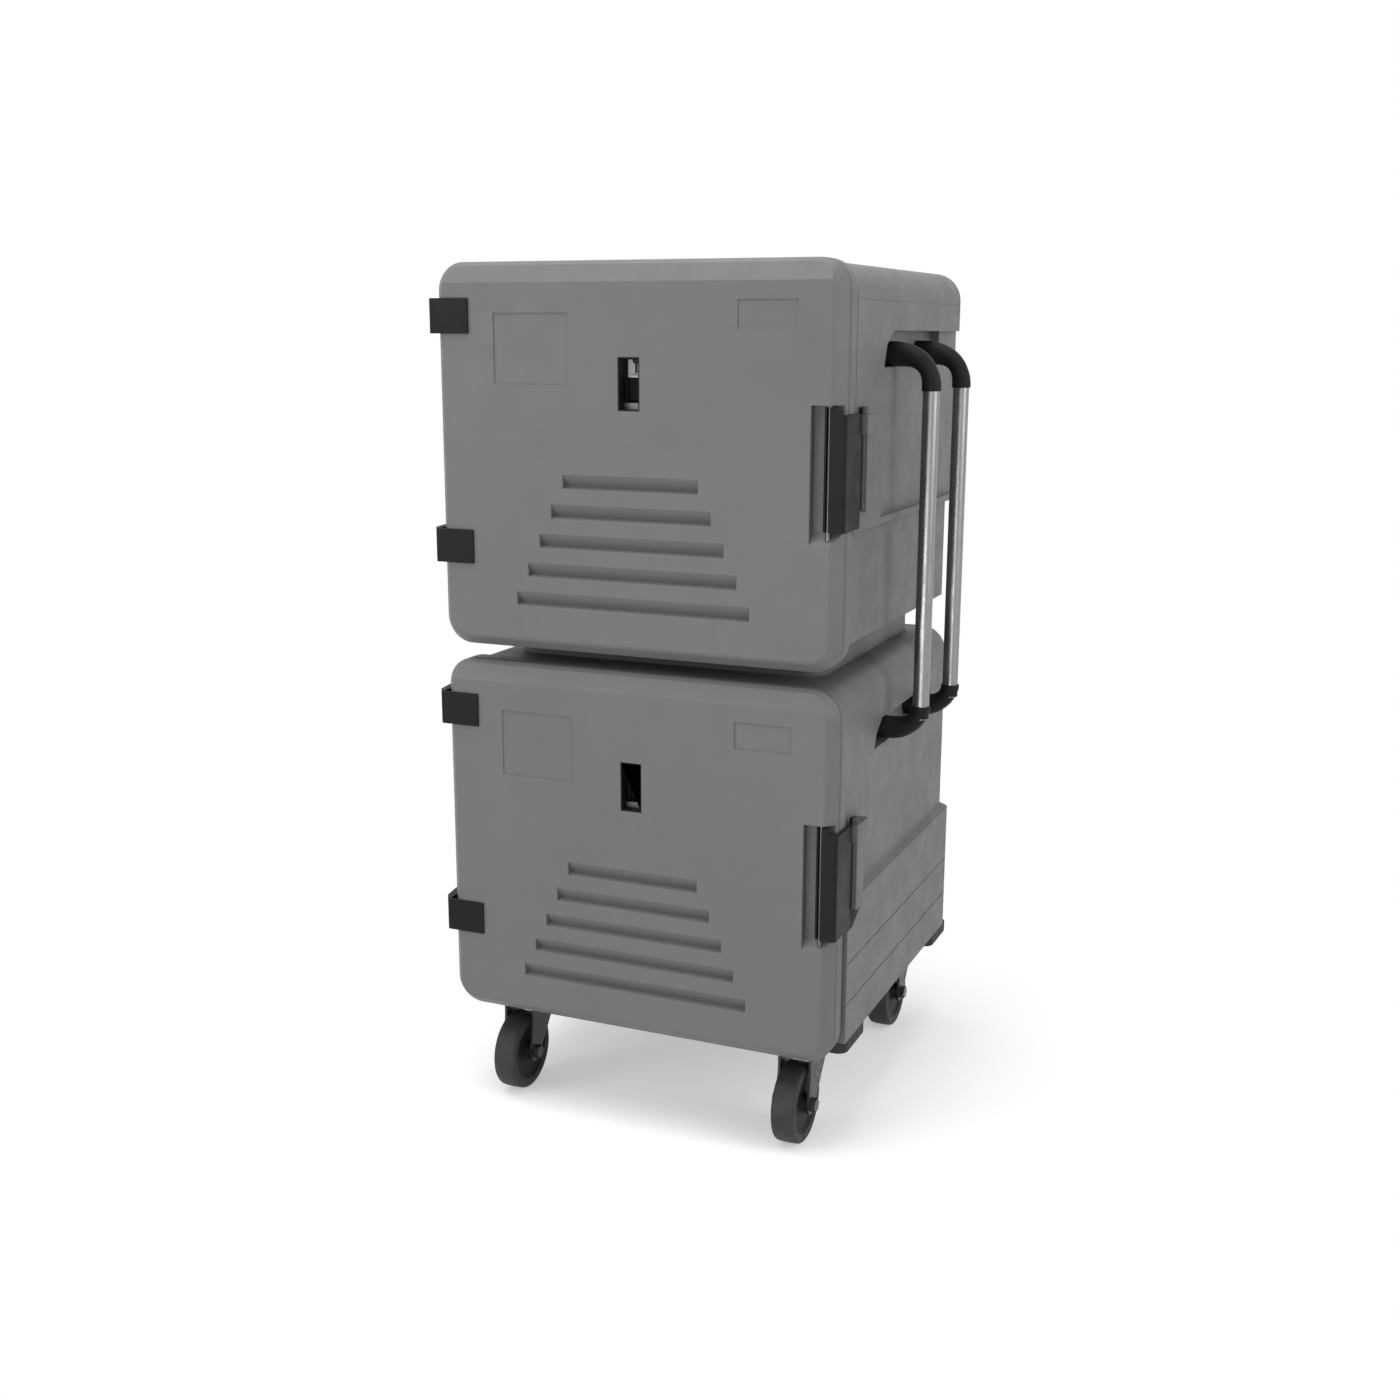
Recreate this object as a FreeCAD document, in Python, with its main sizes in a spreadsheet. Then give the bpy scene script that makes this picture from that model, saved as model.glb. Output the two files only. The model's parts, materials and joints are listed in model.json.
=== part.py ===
"""Enclosed meal tray cart: two insulated front-opening boxes, stacked on four casters.

Units are millimetres.  +X is to the right, +Y to the back, +Z up.  Each sub-part is drawn in
the box frame (X from the middle of the box, Y from the door's front face, Z from the door's
lower edge) or in the caster frame, and its Placement carries it into the cart's frame, whose
origin is the middle of the cart's footprint on the floor.
"""

import FreeCAD, Part
import os
import re
import Sketcher

# Driving dimensions: name, millimetres (or a count or degrees), what it is.
SIZES = [
    # whole cart
    ("box_width", 637, "width of a door"),
    ("door_height", 566, "height of a door"),
    ("box_gap", 24, "gap between one door and the next"),
    ("box_depth", 637, "door's front face to the upper box's back"),
    # door
    ("door_corner", 42, "radius of the door's corners, seen from the front"),
    ("front_depth", 21, "depth of the door's front shell"),
    ("groove_width", 6, "width of the groove round the door's edge"),
    ("groove_depth", 6, "depth of the groove round the door's edge"),
    ("bead_depth", 30, "depth of the bead round the door's back"),
    ("bead_round", 5, "rounding of the bead"),
    ("bevel_width", 15.5, "width of the sloping border round the door's front"),
    ("bevel_depth", 19, "how far that border slopes back"),
    ("bevel_blend", 8, "rounding where that border meets the flat front"),
    ("door_edge", 3, "rounding of the door's outer front edge"),
    ("brow_height", 30, "height of the slanted band along the door's top"),
    ("brow_depth", 15, "how far that band slants back"),
    ("border", 22, "solid border of the door, clear of foam"),
    ("skin", 5, "thickness of the plastic skins"),
    ("back_skin", 7, "thickness of the door's inner panel at the seal"),
    ("plug_depth", 12, "how far the door's inner panel stands into the box"),
    ("plug_clearance", 10, "gap round that panel inside the box"),
    ("seam", 3, "gap between the closed door and the box"),
    ("gasket_width", 12, "width of the door seal"),
    ("gasket_seat", 3, "depth of the seal's groove"),
    ("gasket_margin", 7, "from the box's inner wall to the seal"),
    ("touch_gap", 0.3, "gap between pieces that touch but move"),
    # things sunk into the door's front
    ("card_inset", 101.5, "large card recess inside the door's left edge"),
    ("card_width", 121, "width of the large card recess"),
    ("card_drop", 73, "large card recess under the door's top"),
    ("card_height", 101, "height of the large card recess"),
    ("tag_inset", 66.5, "small tag recess inside the door's right edge"),
    ("tag_width", 87, "width of the small tag recess"),
    ("tag_drop", 55, "small tag recess under the door's top"),
    ("tag_height", 39, "height of the small tag recess"),
    ("card_depth", 1.5, "depth of both recesses"),
    ("rib_count", 5, "number of wedge grooves"),
    ("rib_foot", 67.7, "height of the lowest groove's ledge"),
    ("rib_pitch", 44, "height from groove to groove"),
    ("rib_height", 21, "height of a groove's mouth"),
    ("rib_depth", 11, "depth of a groove at its ledge"),
    ("rib_lip", 4.5, "how much lower a ledge is at the door's face"),
    ("rib_long", 372, "length of the lowest groove"),
    ("rib_step", 39.5, "how much shorter each next groove is"),
    # vent
    ("vent_width", 30, "width of the vent's pocket"),
    ("vent_drop", 135.6, "vent's pocket under the door's top"),
    ("vent_height", 71, "height of the vent's pocket"),
    ("vent_depth", 30, "depth of the vent's pocket"),
    ("vent_wall", 2, "thickness of the vent's housing"),
    ("vent_hole", 6.5, "radius of the vent hole"),
    ("vent_hole_height", 53.5, "vent hole's middle over the pocket's lower edge"),
    ("slider_height", 25, "height of the vent's shutter"),
    ("slider_foot", 44.5, "shutter's lower edge over the pocket's lower edge"),
    ("slider_thickness", 3, "thickness of the shutter"),
    ("slit_width", 4, "width of the slit sunk in the shutter"),
    ("slit_depth", 2, "depth of that slit and of the notch over it"),
    ("notch_radius", 6.5, "radius of the half-round notch at the shutter's top"),
    ("slider_gap", 0.4, "gap round the shutter"),
    ("grip_depth", 2, "how far the shutter's grip stands in front of its strips"),
    ("grip_height", 3, "height of that grip"),
    ("slit_foot", 6, "slit's lower end over the shutter's"),
    ("guide_width", 2.5, "width of the strips that hold the shutter"),
    ("clip_height", 9, "height of the metal strip at the pocket's foot"),
    ("clip_thickness", 1.5, "thickness of that strip"),
    # latch
    ("latch_width", 45.5, "width of the finger recess, in from the door's edge"),
    ("latch_foot", 198, "lower end of the finger recess"),
    ("latch_top", 371, "upper end of the finger recess"),
    ("latch_lip", 16, "height of the slope under the finger recess"),
    ("latch_recess", 16, "depth of the finger recess"),
    ("latch_pin_inset", 20.5, "latch pin inside the door's edge"),
    ("latch_pin_y", 7, "latch pin behind the door's front face"),
    ("latch_pin_radius", 3.5, "radius of the latch pin"),
    ("latch_pin_hold", 10, "length of the pin held in the door at each end"),
    ("latch_plate", 4.5, "thickness of the latch plate"),
    ("latch_proud", 2, "how far the plate stands in front of the door"),
    ("latch_gap", 1.5, "gap between the plate and the door's edge"),
    ("latch_reach", 66, "how far back the plate reaches"),
    ("latch_round", 6, "rounding of the plate's outer corner"),
    ("latch_end_gap", 2, "gap at each end of the latch"),
    ("latch_ear", 12, "width of the taller part beside the pin"),
    ("latch_shoulder", 8, "how much lower the plate is beyond that"),
    ("latch_slant", 3, "how far that edge slants down on its way out"),
    ("knuckle_wall", 3.5, "thickness of the latch's long knuckle"),
    ("pin_slot", 5, "width of the slot that shows the latch pin"),
    ("knuckle_root", 5.5, "width of the knuckle's root on the plate"),
    ("running", 0.05, "radial clearance of a pin that turns"),
    # keeper
    ("keeper_behind", 8, "keeper's block behind its rod"),
    ("keeper_depth", 36, "depth of the keeper's block"),
    ("keeper_proud", 11, "how far the keeper's block stands out"),
    ("keeper_low", 24, "keeper's lower end over the finger recess's"),
    ("keeper_high", 14, "keeper's upper end under the finger recess's"),
    ("keeper_head", 27, "height of the block's thicker head"),
    ("keeper_head_proud", 4, "how much further the head stands out"),
    ("keeper_head_wall", 1.5, "plastic in front of the rod in that head"),
    ("keeper_round", 2, "rounding of the keeper's outer edges"),
    ("rod_radius", 3.5, "radius of the keeper rod"),
    ("rod_gap", 0.5, "gap between the keeper rod's knob and the box's side"),
    ("rod_behind", 10, "keeper rod behind the latch plate"),
    ("toe_radius", 3, "radius of the keeper rod's bent toe"),
    ("rod_lift", 4, "keeper rod's lower end over the block's"),
    ("knob_radius", 6, "radius of the knob on the keeper"),
    ("knob_height", 11, "height of that knob"),
    # hinges
    ("strap_height", 51, "height of a hinge strap"),
    ("strap_low", 125.7, "lower edge of the lower strap"),
    ("strap_drop", 102.5, "lower edge of the upper strap under the door's top"),
    ("strap_length", 60.1, "length of a strap along the door's front"),
    ("strap_thickness", 3.5, "thickness of a strap"),
    ("strap_gap", 1, "gap between a strap and the door's edge"),
    ("strap_web", 1.5, "how much wider that gap gets at the strap's web"),
    ("strap_neck", 9, "front of that web ahead of the pin"),
    ("strap_bend", 2, "front corner of a strap outside that gap"),
    ("strap_nose", 6, "second corner of a strap inside its outer side"),
    ("strap_shoulder", 12, "that corner, and the next, from the face and from the pin"),
    ("pin_short", 2, "upper end of a hinge pin under its strap's"),
    ("leaf_height", 53, "height of a hinge leaf"),
    ("leaf_length", 48, "how far back a leaf reaches behind its pin"),
    ("leaf_thickness", 4.5, "thickness of a leaf"),
    ("hinge_out", 10.5, "hinge pin outside the door's edge"),
    ("hinge_behind", 1, "hinge pin behind the door's back"),
    ("barrel_radius", 8.5, "radius of the hinge barrels"),
    ("hinge_pin_radius", 4, "radius of a hinge pin"),
    ("screw_radius", 4, "radius of a hinge screw's head"),
    ("screw_behind", 33.6, "hinge screws behind the pin"),
    ("seat_gap", 2, "gap between a hinge barrel and its leaf's seat"),
    ("screw_head", 1.8, "height of a hinge screw's head"),
    ("screw_shank", 2.5, "radius of a hinge screw's shank"),
    # box bodies
    ("rim_inset", 1.5, "box's rim inside the door's edge"),
    ("top_gap", 4, "top of a box under its door's top"),
    ("upper_foot", 28, "underside of the upper box over its door's lower edge"),
    ("lower_foot", 18, "underside of the lower box over its door's lower edge"),
    ("body_corner", 44, "rounding of a box's long edges"),
    ("body_back_round", 30, "rounding of a box's back edges"),
    ("panel_inset", 10, "depth of the upper box's side panels"),
    ("panel_front", 190, "front end of those panels"),
    ("panel_slope", 47, "how far the panels' upper front corner is cut back"),
    ("panel_slope_rise", 28.2, "height of that cut's steeper part"),
    ("panel_slope_run", 11.75, "length of that cut's steeper part"),
    ("panel_foot", 203, "ledge under the panels"),
    ("rim_height", 92, "underside of the rim under the box's top"),
    ("base_inset", 14, "how far the upper box steps in under the ledge"),
    ("ledge_slope", 10, "height of the slope under the ledge"),
    ("wall_inset", 6, "lower box's walls inside the door's edge"),
    ("flare", 11, "how far the lower box's base stands out"),
    ("flare_top", 247, "where the flare begins"),
    ("flare_slope", 22, "height of the flare's slope"),
    ("notch_gap", 2, "gap round the latch and the hinge where the flare is cut away"),
    ("notch_slant", 10, "that gap behind the keeper at the flare's top"),
    ("line_high", 142, "upper line round the flared base"),
    ("line_low", 78, "lower line round the flared base"),
    ("line_width", 2.5, "width of those lines"),
    ("line_depth", 1.2, "depth of those lines"),
    ("plinth_side", 62, "stacking plinth inside the door's edge at each side"),
    ("plinth_front", 112, "stacking plinth's front behind the door's face"),
    ("plinth_rear", 52, "stacking plinth inside the box's back"),
    ("plinth_wall", 14, "thickness of the plinth's wall"),
    ("plinth_round", 40, "rounding of the plinth's corners"),
    ("plinth_sink", 4, "how deep the plinth sits in the lower box's top"),
    ("plinth_play", 0.5, "gap round the plinth in that recess"),
    # inside
    ("liner_skin", 3, "thickness of the inner tub"),
    ("side_wall", 45.5, "from the door's edge in to the inside"),
    ("cavity_foot", 71, "floor of the inside over the door's lower edge"),
    ("ceiling", 45, "ceiling of the inside under the box's top"),
    ("back_wall", 48, "from the box's back in to the inside"),
    ("cavity_round", 14, "rounding inside the tub"),
    ("flange", 4, "thickness of the tub's front flange"),
    ("rack_thickness", 4, "thickness of a tray rack"),
    ("rack_front", 76, "front of a tray rack behind the door's face"),
    ("rack_back_gap", 10, "gap behind a tray rack"),
    ("rack_end_gap", 14, "gap over and under a tray rack"),
    ("runner_first", 26, "lowest runner over the floor of the inside"),
    ("runner_pitch", 60, "height from runner to runner"),
    ("runner_width", 14, "width of a runner"),
    ("runner_thickness", 4, "thickness of a runner"),
    # push handles
    ("pocket_depth", 26, "depth of the handle pockets"),
    ("pocket_front", 205, "front end of the handle pockets"),
    ("pocket_length", 315, "length of the handle pockets"),
    ("pocket_slope", 40, "how far their upper front corner is cut back"),
    ("pocket_slope_run", 10, "how far the steeper half of that cut goes back"),
    ("upper_pocket_height", 52, "height of the upper pocket"),
    ("lower_pocket_drop", 82, "lower pocket under the box's top"),
    ("lower_pocket_height", 42, "height of the lower pocket"),
    ("handle_out", 49, "handle tubes outside the box's rim"),
    ("handle_front", 268, "front handle behind the door's face"),
    ("handle_back", 443, "back handle behind the door's face"),
    ("elbow_rise_high", 18.5, "upper elbows over their pocket's lower edge"),
    ("elbow_rise_low", 22, "lower elbows over their pocket's lower edge"),
    ("elbow_radius", 16.5, "radius of an elbow"),
    ("elbow_bend", 30, "radius of an elbow's bend"),
    ("elbow_drop_high", 53, "upper elbow's middle to its end"),
    ("elbow_drop_low", 38, "lower elbow's middle to its end"),
    ("handle_tube_radius", 12.5, "radius of a handle tube"),
    ("handle_tube_wall", 1.5, "wall of a handle tube"),
    ("handle_socket", 20, "how deep a tube sits in its elbow"),
    # base and casters
    ("pad_length", 106, "length of a corner skid"),
    ("pad_width", 135, "width of a corner skid"),
    ("pad_round", 16, "rounding of a corner skid's corners"),
    ("caster_shift", 16, "caster swivels inboard of the middle of their skid"),
    ("plate_thickness", 4, "thickness of a caster's top plate"),
    ("plate_margin", 10, "caster plate outside its bolts"),
    ("plate_round", 8, "rounding of a caster plate's corners"),
    ("bolt_x", 75, "caster bolts, spacing to the side"),
    ("bolt_y", 56, "caster bolts, spacing along the cart"),
    ("bolt_radius", 4, "radius of a caster bolt"),
    ("bolt_head", 6.5, "radius of a caster bolt's head"),
    ("bolt_head_height", 5, "height of a caster bolt's head"),
    ("bolt_hold", 12, "length of a caster bolt in its skid"),
    ("wheel_radius", 62.5, "radius of a wheel"),
    ("wheel_width", 38, "width of a wheel"),
    ("wheel_round", 9, "rounding of a wheel's tread"),
    ("wheel_dish", 5, "depth of the hollow in a wheel's side"),
    ("tread_band", 14, "thickness of the rubber round a wheel's hollow"),
    ("hub_radius", 17, "radius of a wheel's hub"),
    ("hub_gap", 0.6, "gap between a hub and its fork"),
    ("hub_width", 45, "width of a hub"),
    ("trail", 34, "wheel's axle ahead of its swivel"),
    ("fork_thickness", 4, "thickness of a fork's sides"),
    ("crown_gap", 11, "gap between a wheel and its fork's crown"),
    ("fork_crown", 6, "thickness of a fork's crown"),
    ("fork_head", 64, "length of a fork's sides at the crown"),
    ("fork_foot", 15, "radius of a fork's lower ends"),
    ("race_radius", 31, "radius of a swivel's bearing"),
    ("race_height", 15.7, "height of a swivel's bearing"),
    ("kingpin_radius", 6, "radius of a swivel's pin"),
    ("kingpin_head", 10, "radius of the head under a swivel"),
    ("kingpin_head_height", 4, "height of that head"),
    ("axle_radius", 6, "radius of a wheel's axle"),
    ("nut_radius", 11, "radius of an axle's head and nut"),
    ("nut_height", 8, "height of an axle's head and nut"),
]

# Places worked out from the driving dimensions.
PLACES = [
    ("door_half", "box_width / 2"),
    ("box_pitch", "door_height + box_gap"),
    ("body_top", "door_height - top_gap"),
    ("door_back", "front_depth + groove_width + bead_depth"),
    ("body_front", "door_back + seam"),
    ("rim_half", "door_half - rim_inset"),
    ("panel_half", "rim_half - panel_inset"),
    ("base_half", "rim_half - base_inset"),
    ("wall_half", "door_half - wall_inset"),
    ("flare_half", "wall_half + flare"),
    ("panel_back", "box_depth - panel_inset"),
    ("base_back", "box_depth - base_inset"),
    ("flare_back", "box_depth + flare"),
    ("cavity_half", "door_half - side_wall"),
    ("cavity_head", "body_top - ceiling"),
    ("cavity_back", "box_depth - back_wall"),
    ("liner_half", "cavity_half + liner_skin"),
    ("liner_foot", "cavity_foot - liner_skin"),
    ("liner_head", "cavity_head + liner_skin"),
    ("liner_back", "cavity_back + liner_skin"),
    ("card_left", "card_inset - door_half"),
    ("card_foot", "door_height - card_drop - card_height"),
    ("tag_left", "door_half - tag_inset - tag_width"),
    ("tag_foot", "door_height - tag_drop - tag_height"),
    ("vent_foot", "door_height - vent_drop - vent_height"),
    ("latch_left", "door_half - latch_width"),
    ("latch_pin_x", "door_half - latch_pin_inset"),
    ("strap_inner", "door_half - strap_length"),
    ("strap_high", "door_height - strap_drop"),
    ("hinge_x", "door_half + hinge_out"),
    ("hinge_y", "door_back + hinge_behind"),
    ("rod_x", "rim_half + knob_radius + rod_gap"),
    ("rod_y", "latch_reach + rod_behind"),
    ("keeper_front", "rod_y + keeper_behind"),
    ("keeper_foot", "latch_foot + keeper_low"),
    ("keeper_top", "latch_top - keeper_high"),
    ("rod_foot", "keeper_foot + rod_lift"),
    ("latch_side", "door_half + latch_gap"),
    ("handle_x", "rim_half + handle_out"),
    ("left_reach", "hinge_x + barrel_radius"),
    ("right_reach", "handle_x + elbow_radius"),
    ("box_x", "(left_reach - right_reach) / 2"),
    ("front_y", "(strap_thickness - flare_back) / 2"),
    ("pad_back", "flare_back - pad_length"),
    ("caster_x", "flare_half - pad_width / 2 - caster_shift"),
    ("caster_front", "body_front + pad_length / 2"),
    ("caster_rear", "flare_back - pad_length / 2"),
    ("fork_top", "2 * wheel_radius + crown_gap + fork_crown"),
    ("door_lift", "fork_top + race_height + touch_gap + plate_thickness"),
    ("plinth_back", "box_depth - plinth_rear"),
    ("pocket_floor", "rim_half - pocket_depth"),
    ("pocket_back", "pocket_front + pocket_length"),
    ("panel_head", "body_top - rim_height"),
    ("upper_pocket_foot", "panel_head - upper_pocket_height"),
    ("lower_pocket_head", "body_top - lower_pocket_drop"),
    ("lower_pocket_foot", "lower_pocket_head - lower_pocket_height"),
    ("handle_high", "upper_pocket_foot + elbow_rise_high"),
    ("handle_low", "lower_pocket_foot + elbow_rise_low"),
]

NODES = []
CUTS = []
SCREW_HEIGHTS = ("leaf_height / 4", "3 * leaf_height / 4")
FAR = "900"
PAST = " + 1"

doc = FreeCAD.newDocument("meal_tray_cart")
sizes = doc.addObject("Spreadsheet::Sheet", "Sizes")
for row, (size_name, millimetres, meaning) in enumerate(SIZES, start=1):
    sizes.set("A%d" % row, meaning)
    sizes.set("B%d" % row, str(millimetres))
    sizes.setAlias("B%d" % row, size_name)
doc.recompute()

SIZE_NAMES = {entry[0] for entry in SIZES}
PLACE_NAMES = {entry[0] for entry in PLACES}


def bound(formula):
    """A formula in plain names, as the document's objects want it."""
    def full_name(match):
        word = match.group(0)
        if word in SIZE_NAMES:
            return "Sizes." + word
        if word in PLACE_NAMES:
            return "Places." + word
        return word
    return re.sub(r"[A-Za-z_][A-Za-z_0-9]*", full_name, str(formula))


places = doc.addObject("App::VarSet", "Places")
for place_name, place_formula in PLACES:
    places.addProperty("App::PropertyFloat", place_name, "Base", place_formula)
    places.setExpression(place_name, bound(place_formula))
doc.recompute()


def value(name):
    """The present number of one size or place."""
    return getattr(places, name) if name in PLACE_NAMES else float(sizes.get(name))


# ---------------------------------------------------------------------------------------------
# Outlines: each is a list of loops, and a loop is a list of corners or one circle.

def rectangle(left, right, foot, head):
    return [[(left, foot), (right, foot), (right, head), (left, head)]]


def both_sides(half, foot, head):
    return rectangle("-(%s)" % half, half, foot, head)


def polygon(*corners):
    return [list(corners)]


def circle(across, up, radius):
    return [(across, up, radius)]


def mirrored(outline):
    """The same outline on the other side of the first axis."""
    return [[("-(%s)" % across, up) for across, up in loop] for loop in outline]


# ---------------------------------------------------------------------------------------------
# Sketches on a body's own planes.  The plane XZ looks backwards: its normal is -Y.

def add_sketch(body, plane, start, outline):
    sketch = body.newObject("Sketcher::SketchObject", body.Name + "_outline")
    origin_plane = [feature for feature in body.Origin.OriginFeatures
                    if feature.Role == plane + "_Plane"][0]
    sketch.AttachmentSupport = (origin_plane, [""])
    sketch.MapMode = "FlatFace"
    away = "-(%s)" if plane == "XZ" else "%s"
    sketch.setExpression("AttachmentOffset.Base.z", bound(away % start))
    for loop in outline:
        if isinstance(loop, tuple):
            add_circle(sketch, *loop)
        else:
            add_loop(sketch, loop)
    return sketch


def fix_point(sketch, geometry, point, across, up):
    for direction, formula in (("DistanceX", across), ("DistanceY", up)):
        constraint = sketch.addConstraint(
            Sketcher.Constraint(direction, -1, 1, geometry, point, 1.0))
        sketch.setExpression("Constraints[%d]" % constraint, bound(formula))


def add_circle(sketch, across, up, radius):
    shape = Part.Circle(FreeCAD.Vector(0, 0, 0), FreeCAD.Vector(0, 0, 1), 1.0)
    index = sketch.addGeometry(shape, False)
    fix_point(sketch, index, 3, across, up)
    constraint = sketch.addConstraint(Sketcher.Constraint("Radius", index, 1.0))
    sketch.setExpression("Constraints[%d]" % constraint, bound(radius))


def add_loop(sketch, corners):
    first = sketch.GeometryCount
    count = len(corners)
    spots = [FreeCAD.Vector(0, 0, 0) + FreeCAD.Rotation(FreeCAD.Vector(0, 0, 1), 360.0 * i / count)
             * FreeCAD.Vector(10, 0, 0) for i in range(count)]
    for i in range(count):
        sketch.addGeometry(Part.LineSegment(spots[i], spots[(i + 1) % count]), False)
    for i in range(count):
        following = first + (i + 1) % count
        sketch.addConstraint(Sketcher.Constraint("Coincident", first + i, 2, following, 1))
    for i, (across, up) in enumerate(corners):
        fix_point(sketch, first + i, 1, across, up)


# ---------------------------------------------------------------------------------------------
# Features.  Each sub-part starts with new_body, and pad, cut, rounded and bevelled shape it.

def new_body(name, where):
    body = doc.addObject("PartDesign::Body", name)
    body.Label = name
    for axis, formula in zip("xyz", where):
        body.setExpression("Placement.Base." + axis, bound(formula))
    return body


def box_frame(level):
    """The frame of the lower box (level 0) or the upper box (level 1)."""
    return ("box_x", "front_y", "door_lift + %d * box_pitch" % level)


def pad(body, plane, start, end, outline):
    feature = body.newObject("PartDesign::Pad", body.Name + "_pad")
    feature.Profile = add_sketch(body, plane, start, outline)
    feature.setExpression("Length", bound("(%s) - (%s)" % (end, start)))
    feature.Reversed = plane == "XZ"
    doc.recompute()
    return feature


def cut(body, plane, start, end, outline):
    feature = body.newObject("PartDesign::Pocket", body.Name + "_cut")
    feature.Profile = add_sketch(body, plane, start, outline)
    feature.setExpression("Length", bound("(%s) - (%s)" % (end, start)))
    feature.Reversed = plane != "XZ"
    doc.recompute()
    CUTS.append(feature)
    return feature


def edge_names(feature, test):
    return ["Edge%d" % (i + 1) for i, edge in enumerate(feature.Shape.Edges) if test(edge)]


def rounded(body, radius, test):
    base = body.Tip
    feature = body.newObject("PartDesign::Fillet", body.Name + "_round")
    feature.Base = (base, edge_names(base, test))
    feature.setExpression("Radius", bound(radius))
    doc.recompute()
    return feature


def bevelled(body, depth, width, test):
    base = body.Tip
    feature = body.newObject("PartDesign::Chamfer", body.Name + "_bevel")
    feature.Base = (base, edge_names(base, test))
    feature.ChamferType = "Two distances"
    feature.setExpression("Size", bound(depth))
    feature.setExpression("Size2", bound(width))
    doc.recompute()
    return feature


def near(a, b):
    return abs(a - b) < 0.01


def along(axis):
    """Tells the straight edges that run along one axis."""
    def test(edge):
        box = edge.BoundBox
        lengths = {"x": box.XLength, "y": box.YLength, "z": box.ZLength}
        run = lengths.pop(axis)
        return run > 0.01 and all(length < 0.01 for length in lengths.values())
    return test


def level_with(axis, place):
    """Tells the edges that lie in one plane square to an axis."""
    def test(edge):
        box = edge.BoundBox
        low = {"x": box.XMin, "y": box.YMin, "z": box.ZMin}[axis]
        high = {"x": box.XMax, "y": box.YMax, "z": box.ZMax}[axis]
        return near(low, place) and near(high, place)
    return test


def both(*tests):
    return lambda edge: all(test(edge) for test in tests)


def either(*tests):
    return lambda edge: any(test(edge) for test in tests)


def node(thing, name):
    thing.Label = name
    NODES.append((name, thing))


def group(name, bodies):
    """Several like pieces as one sub-part."""
    compound = doc.addObject("Part::Compound", name)
    compound.Links = bodies
    node(compound, name)
    doc.recompute()


# ---------------------------------------------------------------------------------------------
# Door

def rib(index):
    """Half length and ledge height of one wedge groove."""
    half = "(rib_long - %d * rib_step) / 2" % index
    ledge = "rib_foot + %d * rib_pitch" % index
    return half, ledge


def rib_blocks():
    """The outlines kept solid, or clear of foam, round the wedge grooves."""
    outlines = []
    for index in range(int(value("rib_count"))):
        half, ledge = rib(index)
        outlines += both_sides("%s + skin" % half, "%s - skin" % ledge,
                               "%s + rib_height + skin" % ledge)
    return outlines


def vent_block(margin):
    return both_sides("vent_width / 2 + %s" % margin, "vent_foot - (%s)" % margin,
                      "vent_foot + vent_height + %s" % margin)


def latch_block():
    """Round the finger recess and its pin, out to the solid border of the door."""
    return rectangle("latch_left - skin", "door_half - border",
                     "latch_foot - latch_lip - skin", "latch_top + latch_pin_hold + skin")


def foam_outline():
    return both_sides("door_half - border", "border", "door_height - brow_height")


def plug_outline(inset):
    return both_sides("cavity_half - plug_clearance - (%s)" % inset,
                      "cavity_foot + plug_clearance + %s" % inset,
                      "cavity_head - plug_clearance - (%s)" % inset)


def make_door_shell(name, level):
    body = new_body(name, box_frame(level))
    pad(body, "XZ", "0", "front_depth", both_sides("door_half", "0", "door_height"))
    rounded(body, "door_corner", along("y"))
    bevelled(body, "bevel_depth", "bevel_width", level_with("y", 0))
    rounded(body, "bevel_blend", level_with("y", 0))
    rounded(body, "door_edge", level_with("y", value("bevel_depth")))
    cut(body, "YZ", "-door_half", "door_half", polygon(
        ("0", "door_height - brow_height"), ("brow_depth", "door_height"), ("0", "door_height")))
    cut(body, "XZ", "skin", "front_depth", foam_outline())
    for outline in rib_blocks():
        pad(body, "XZ", "skin", "front_depth", [outline])
    pad(body, "XZ", "skin", "front_depth", vent_block("vent_wall + skin"))
    pad(body, "XZ", "skin", "front_depth", latch_block())
    card_head = "card_foot + card_height"
    cut(body, "XZ", "0", "card_depth",
        rectangle("card_left", "card_left + card_width", "card_foot", card_head))
    cut(body, "XZ", "0", "card_depth",
        rectangle("tag_left", "tag_left + tag_width", "tag_foot", "tag_foot + tag_height"))
    for index in range(int(value("rib_count"))):
        half, ledge = rib(index)
        wedge = polygon(("0", ledge), ("rib_depth", "%s + rib_lip" % ledge),
                        ("0", "%s + rib_height" % ledge))
        cut(body, "YZ", "-(%s)" % half, half, wedge)
    cut(body, "XZ", "0", "front_depth", vent_block("vent_wall"))
    slope = polygon(("0", "latch_foot - latch_lip"), ("latch_recess", "latch_foot"),
                    ("latch_recess", "latch_top"), ("0", "latch_top"))
    cut(body, "YZ", "latch_left", "door_half", slope)
    cut(body, "XY", "latch_foot - latch_pin_hold", "latch_top + latch_pin_hold",
        circle("latch_pin_x", "latch_pin_y", "latch_pin_radius"))
    node(body, name)


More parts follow.
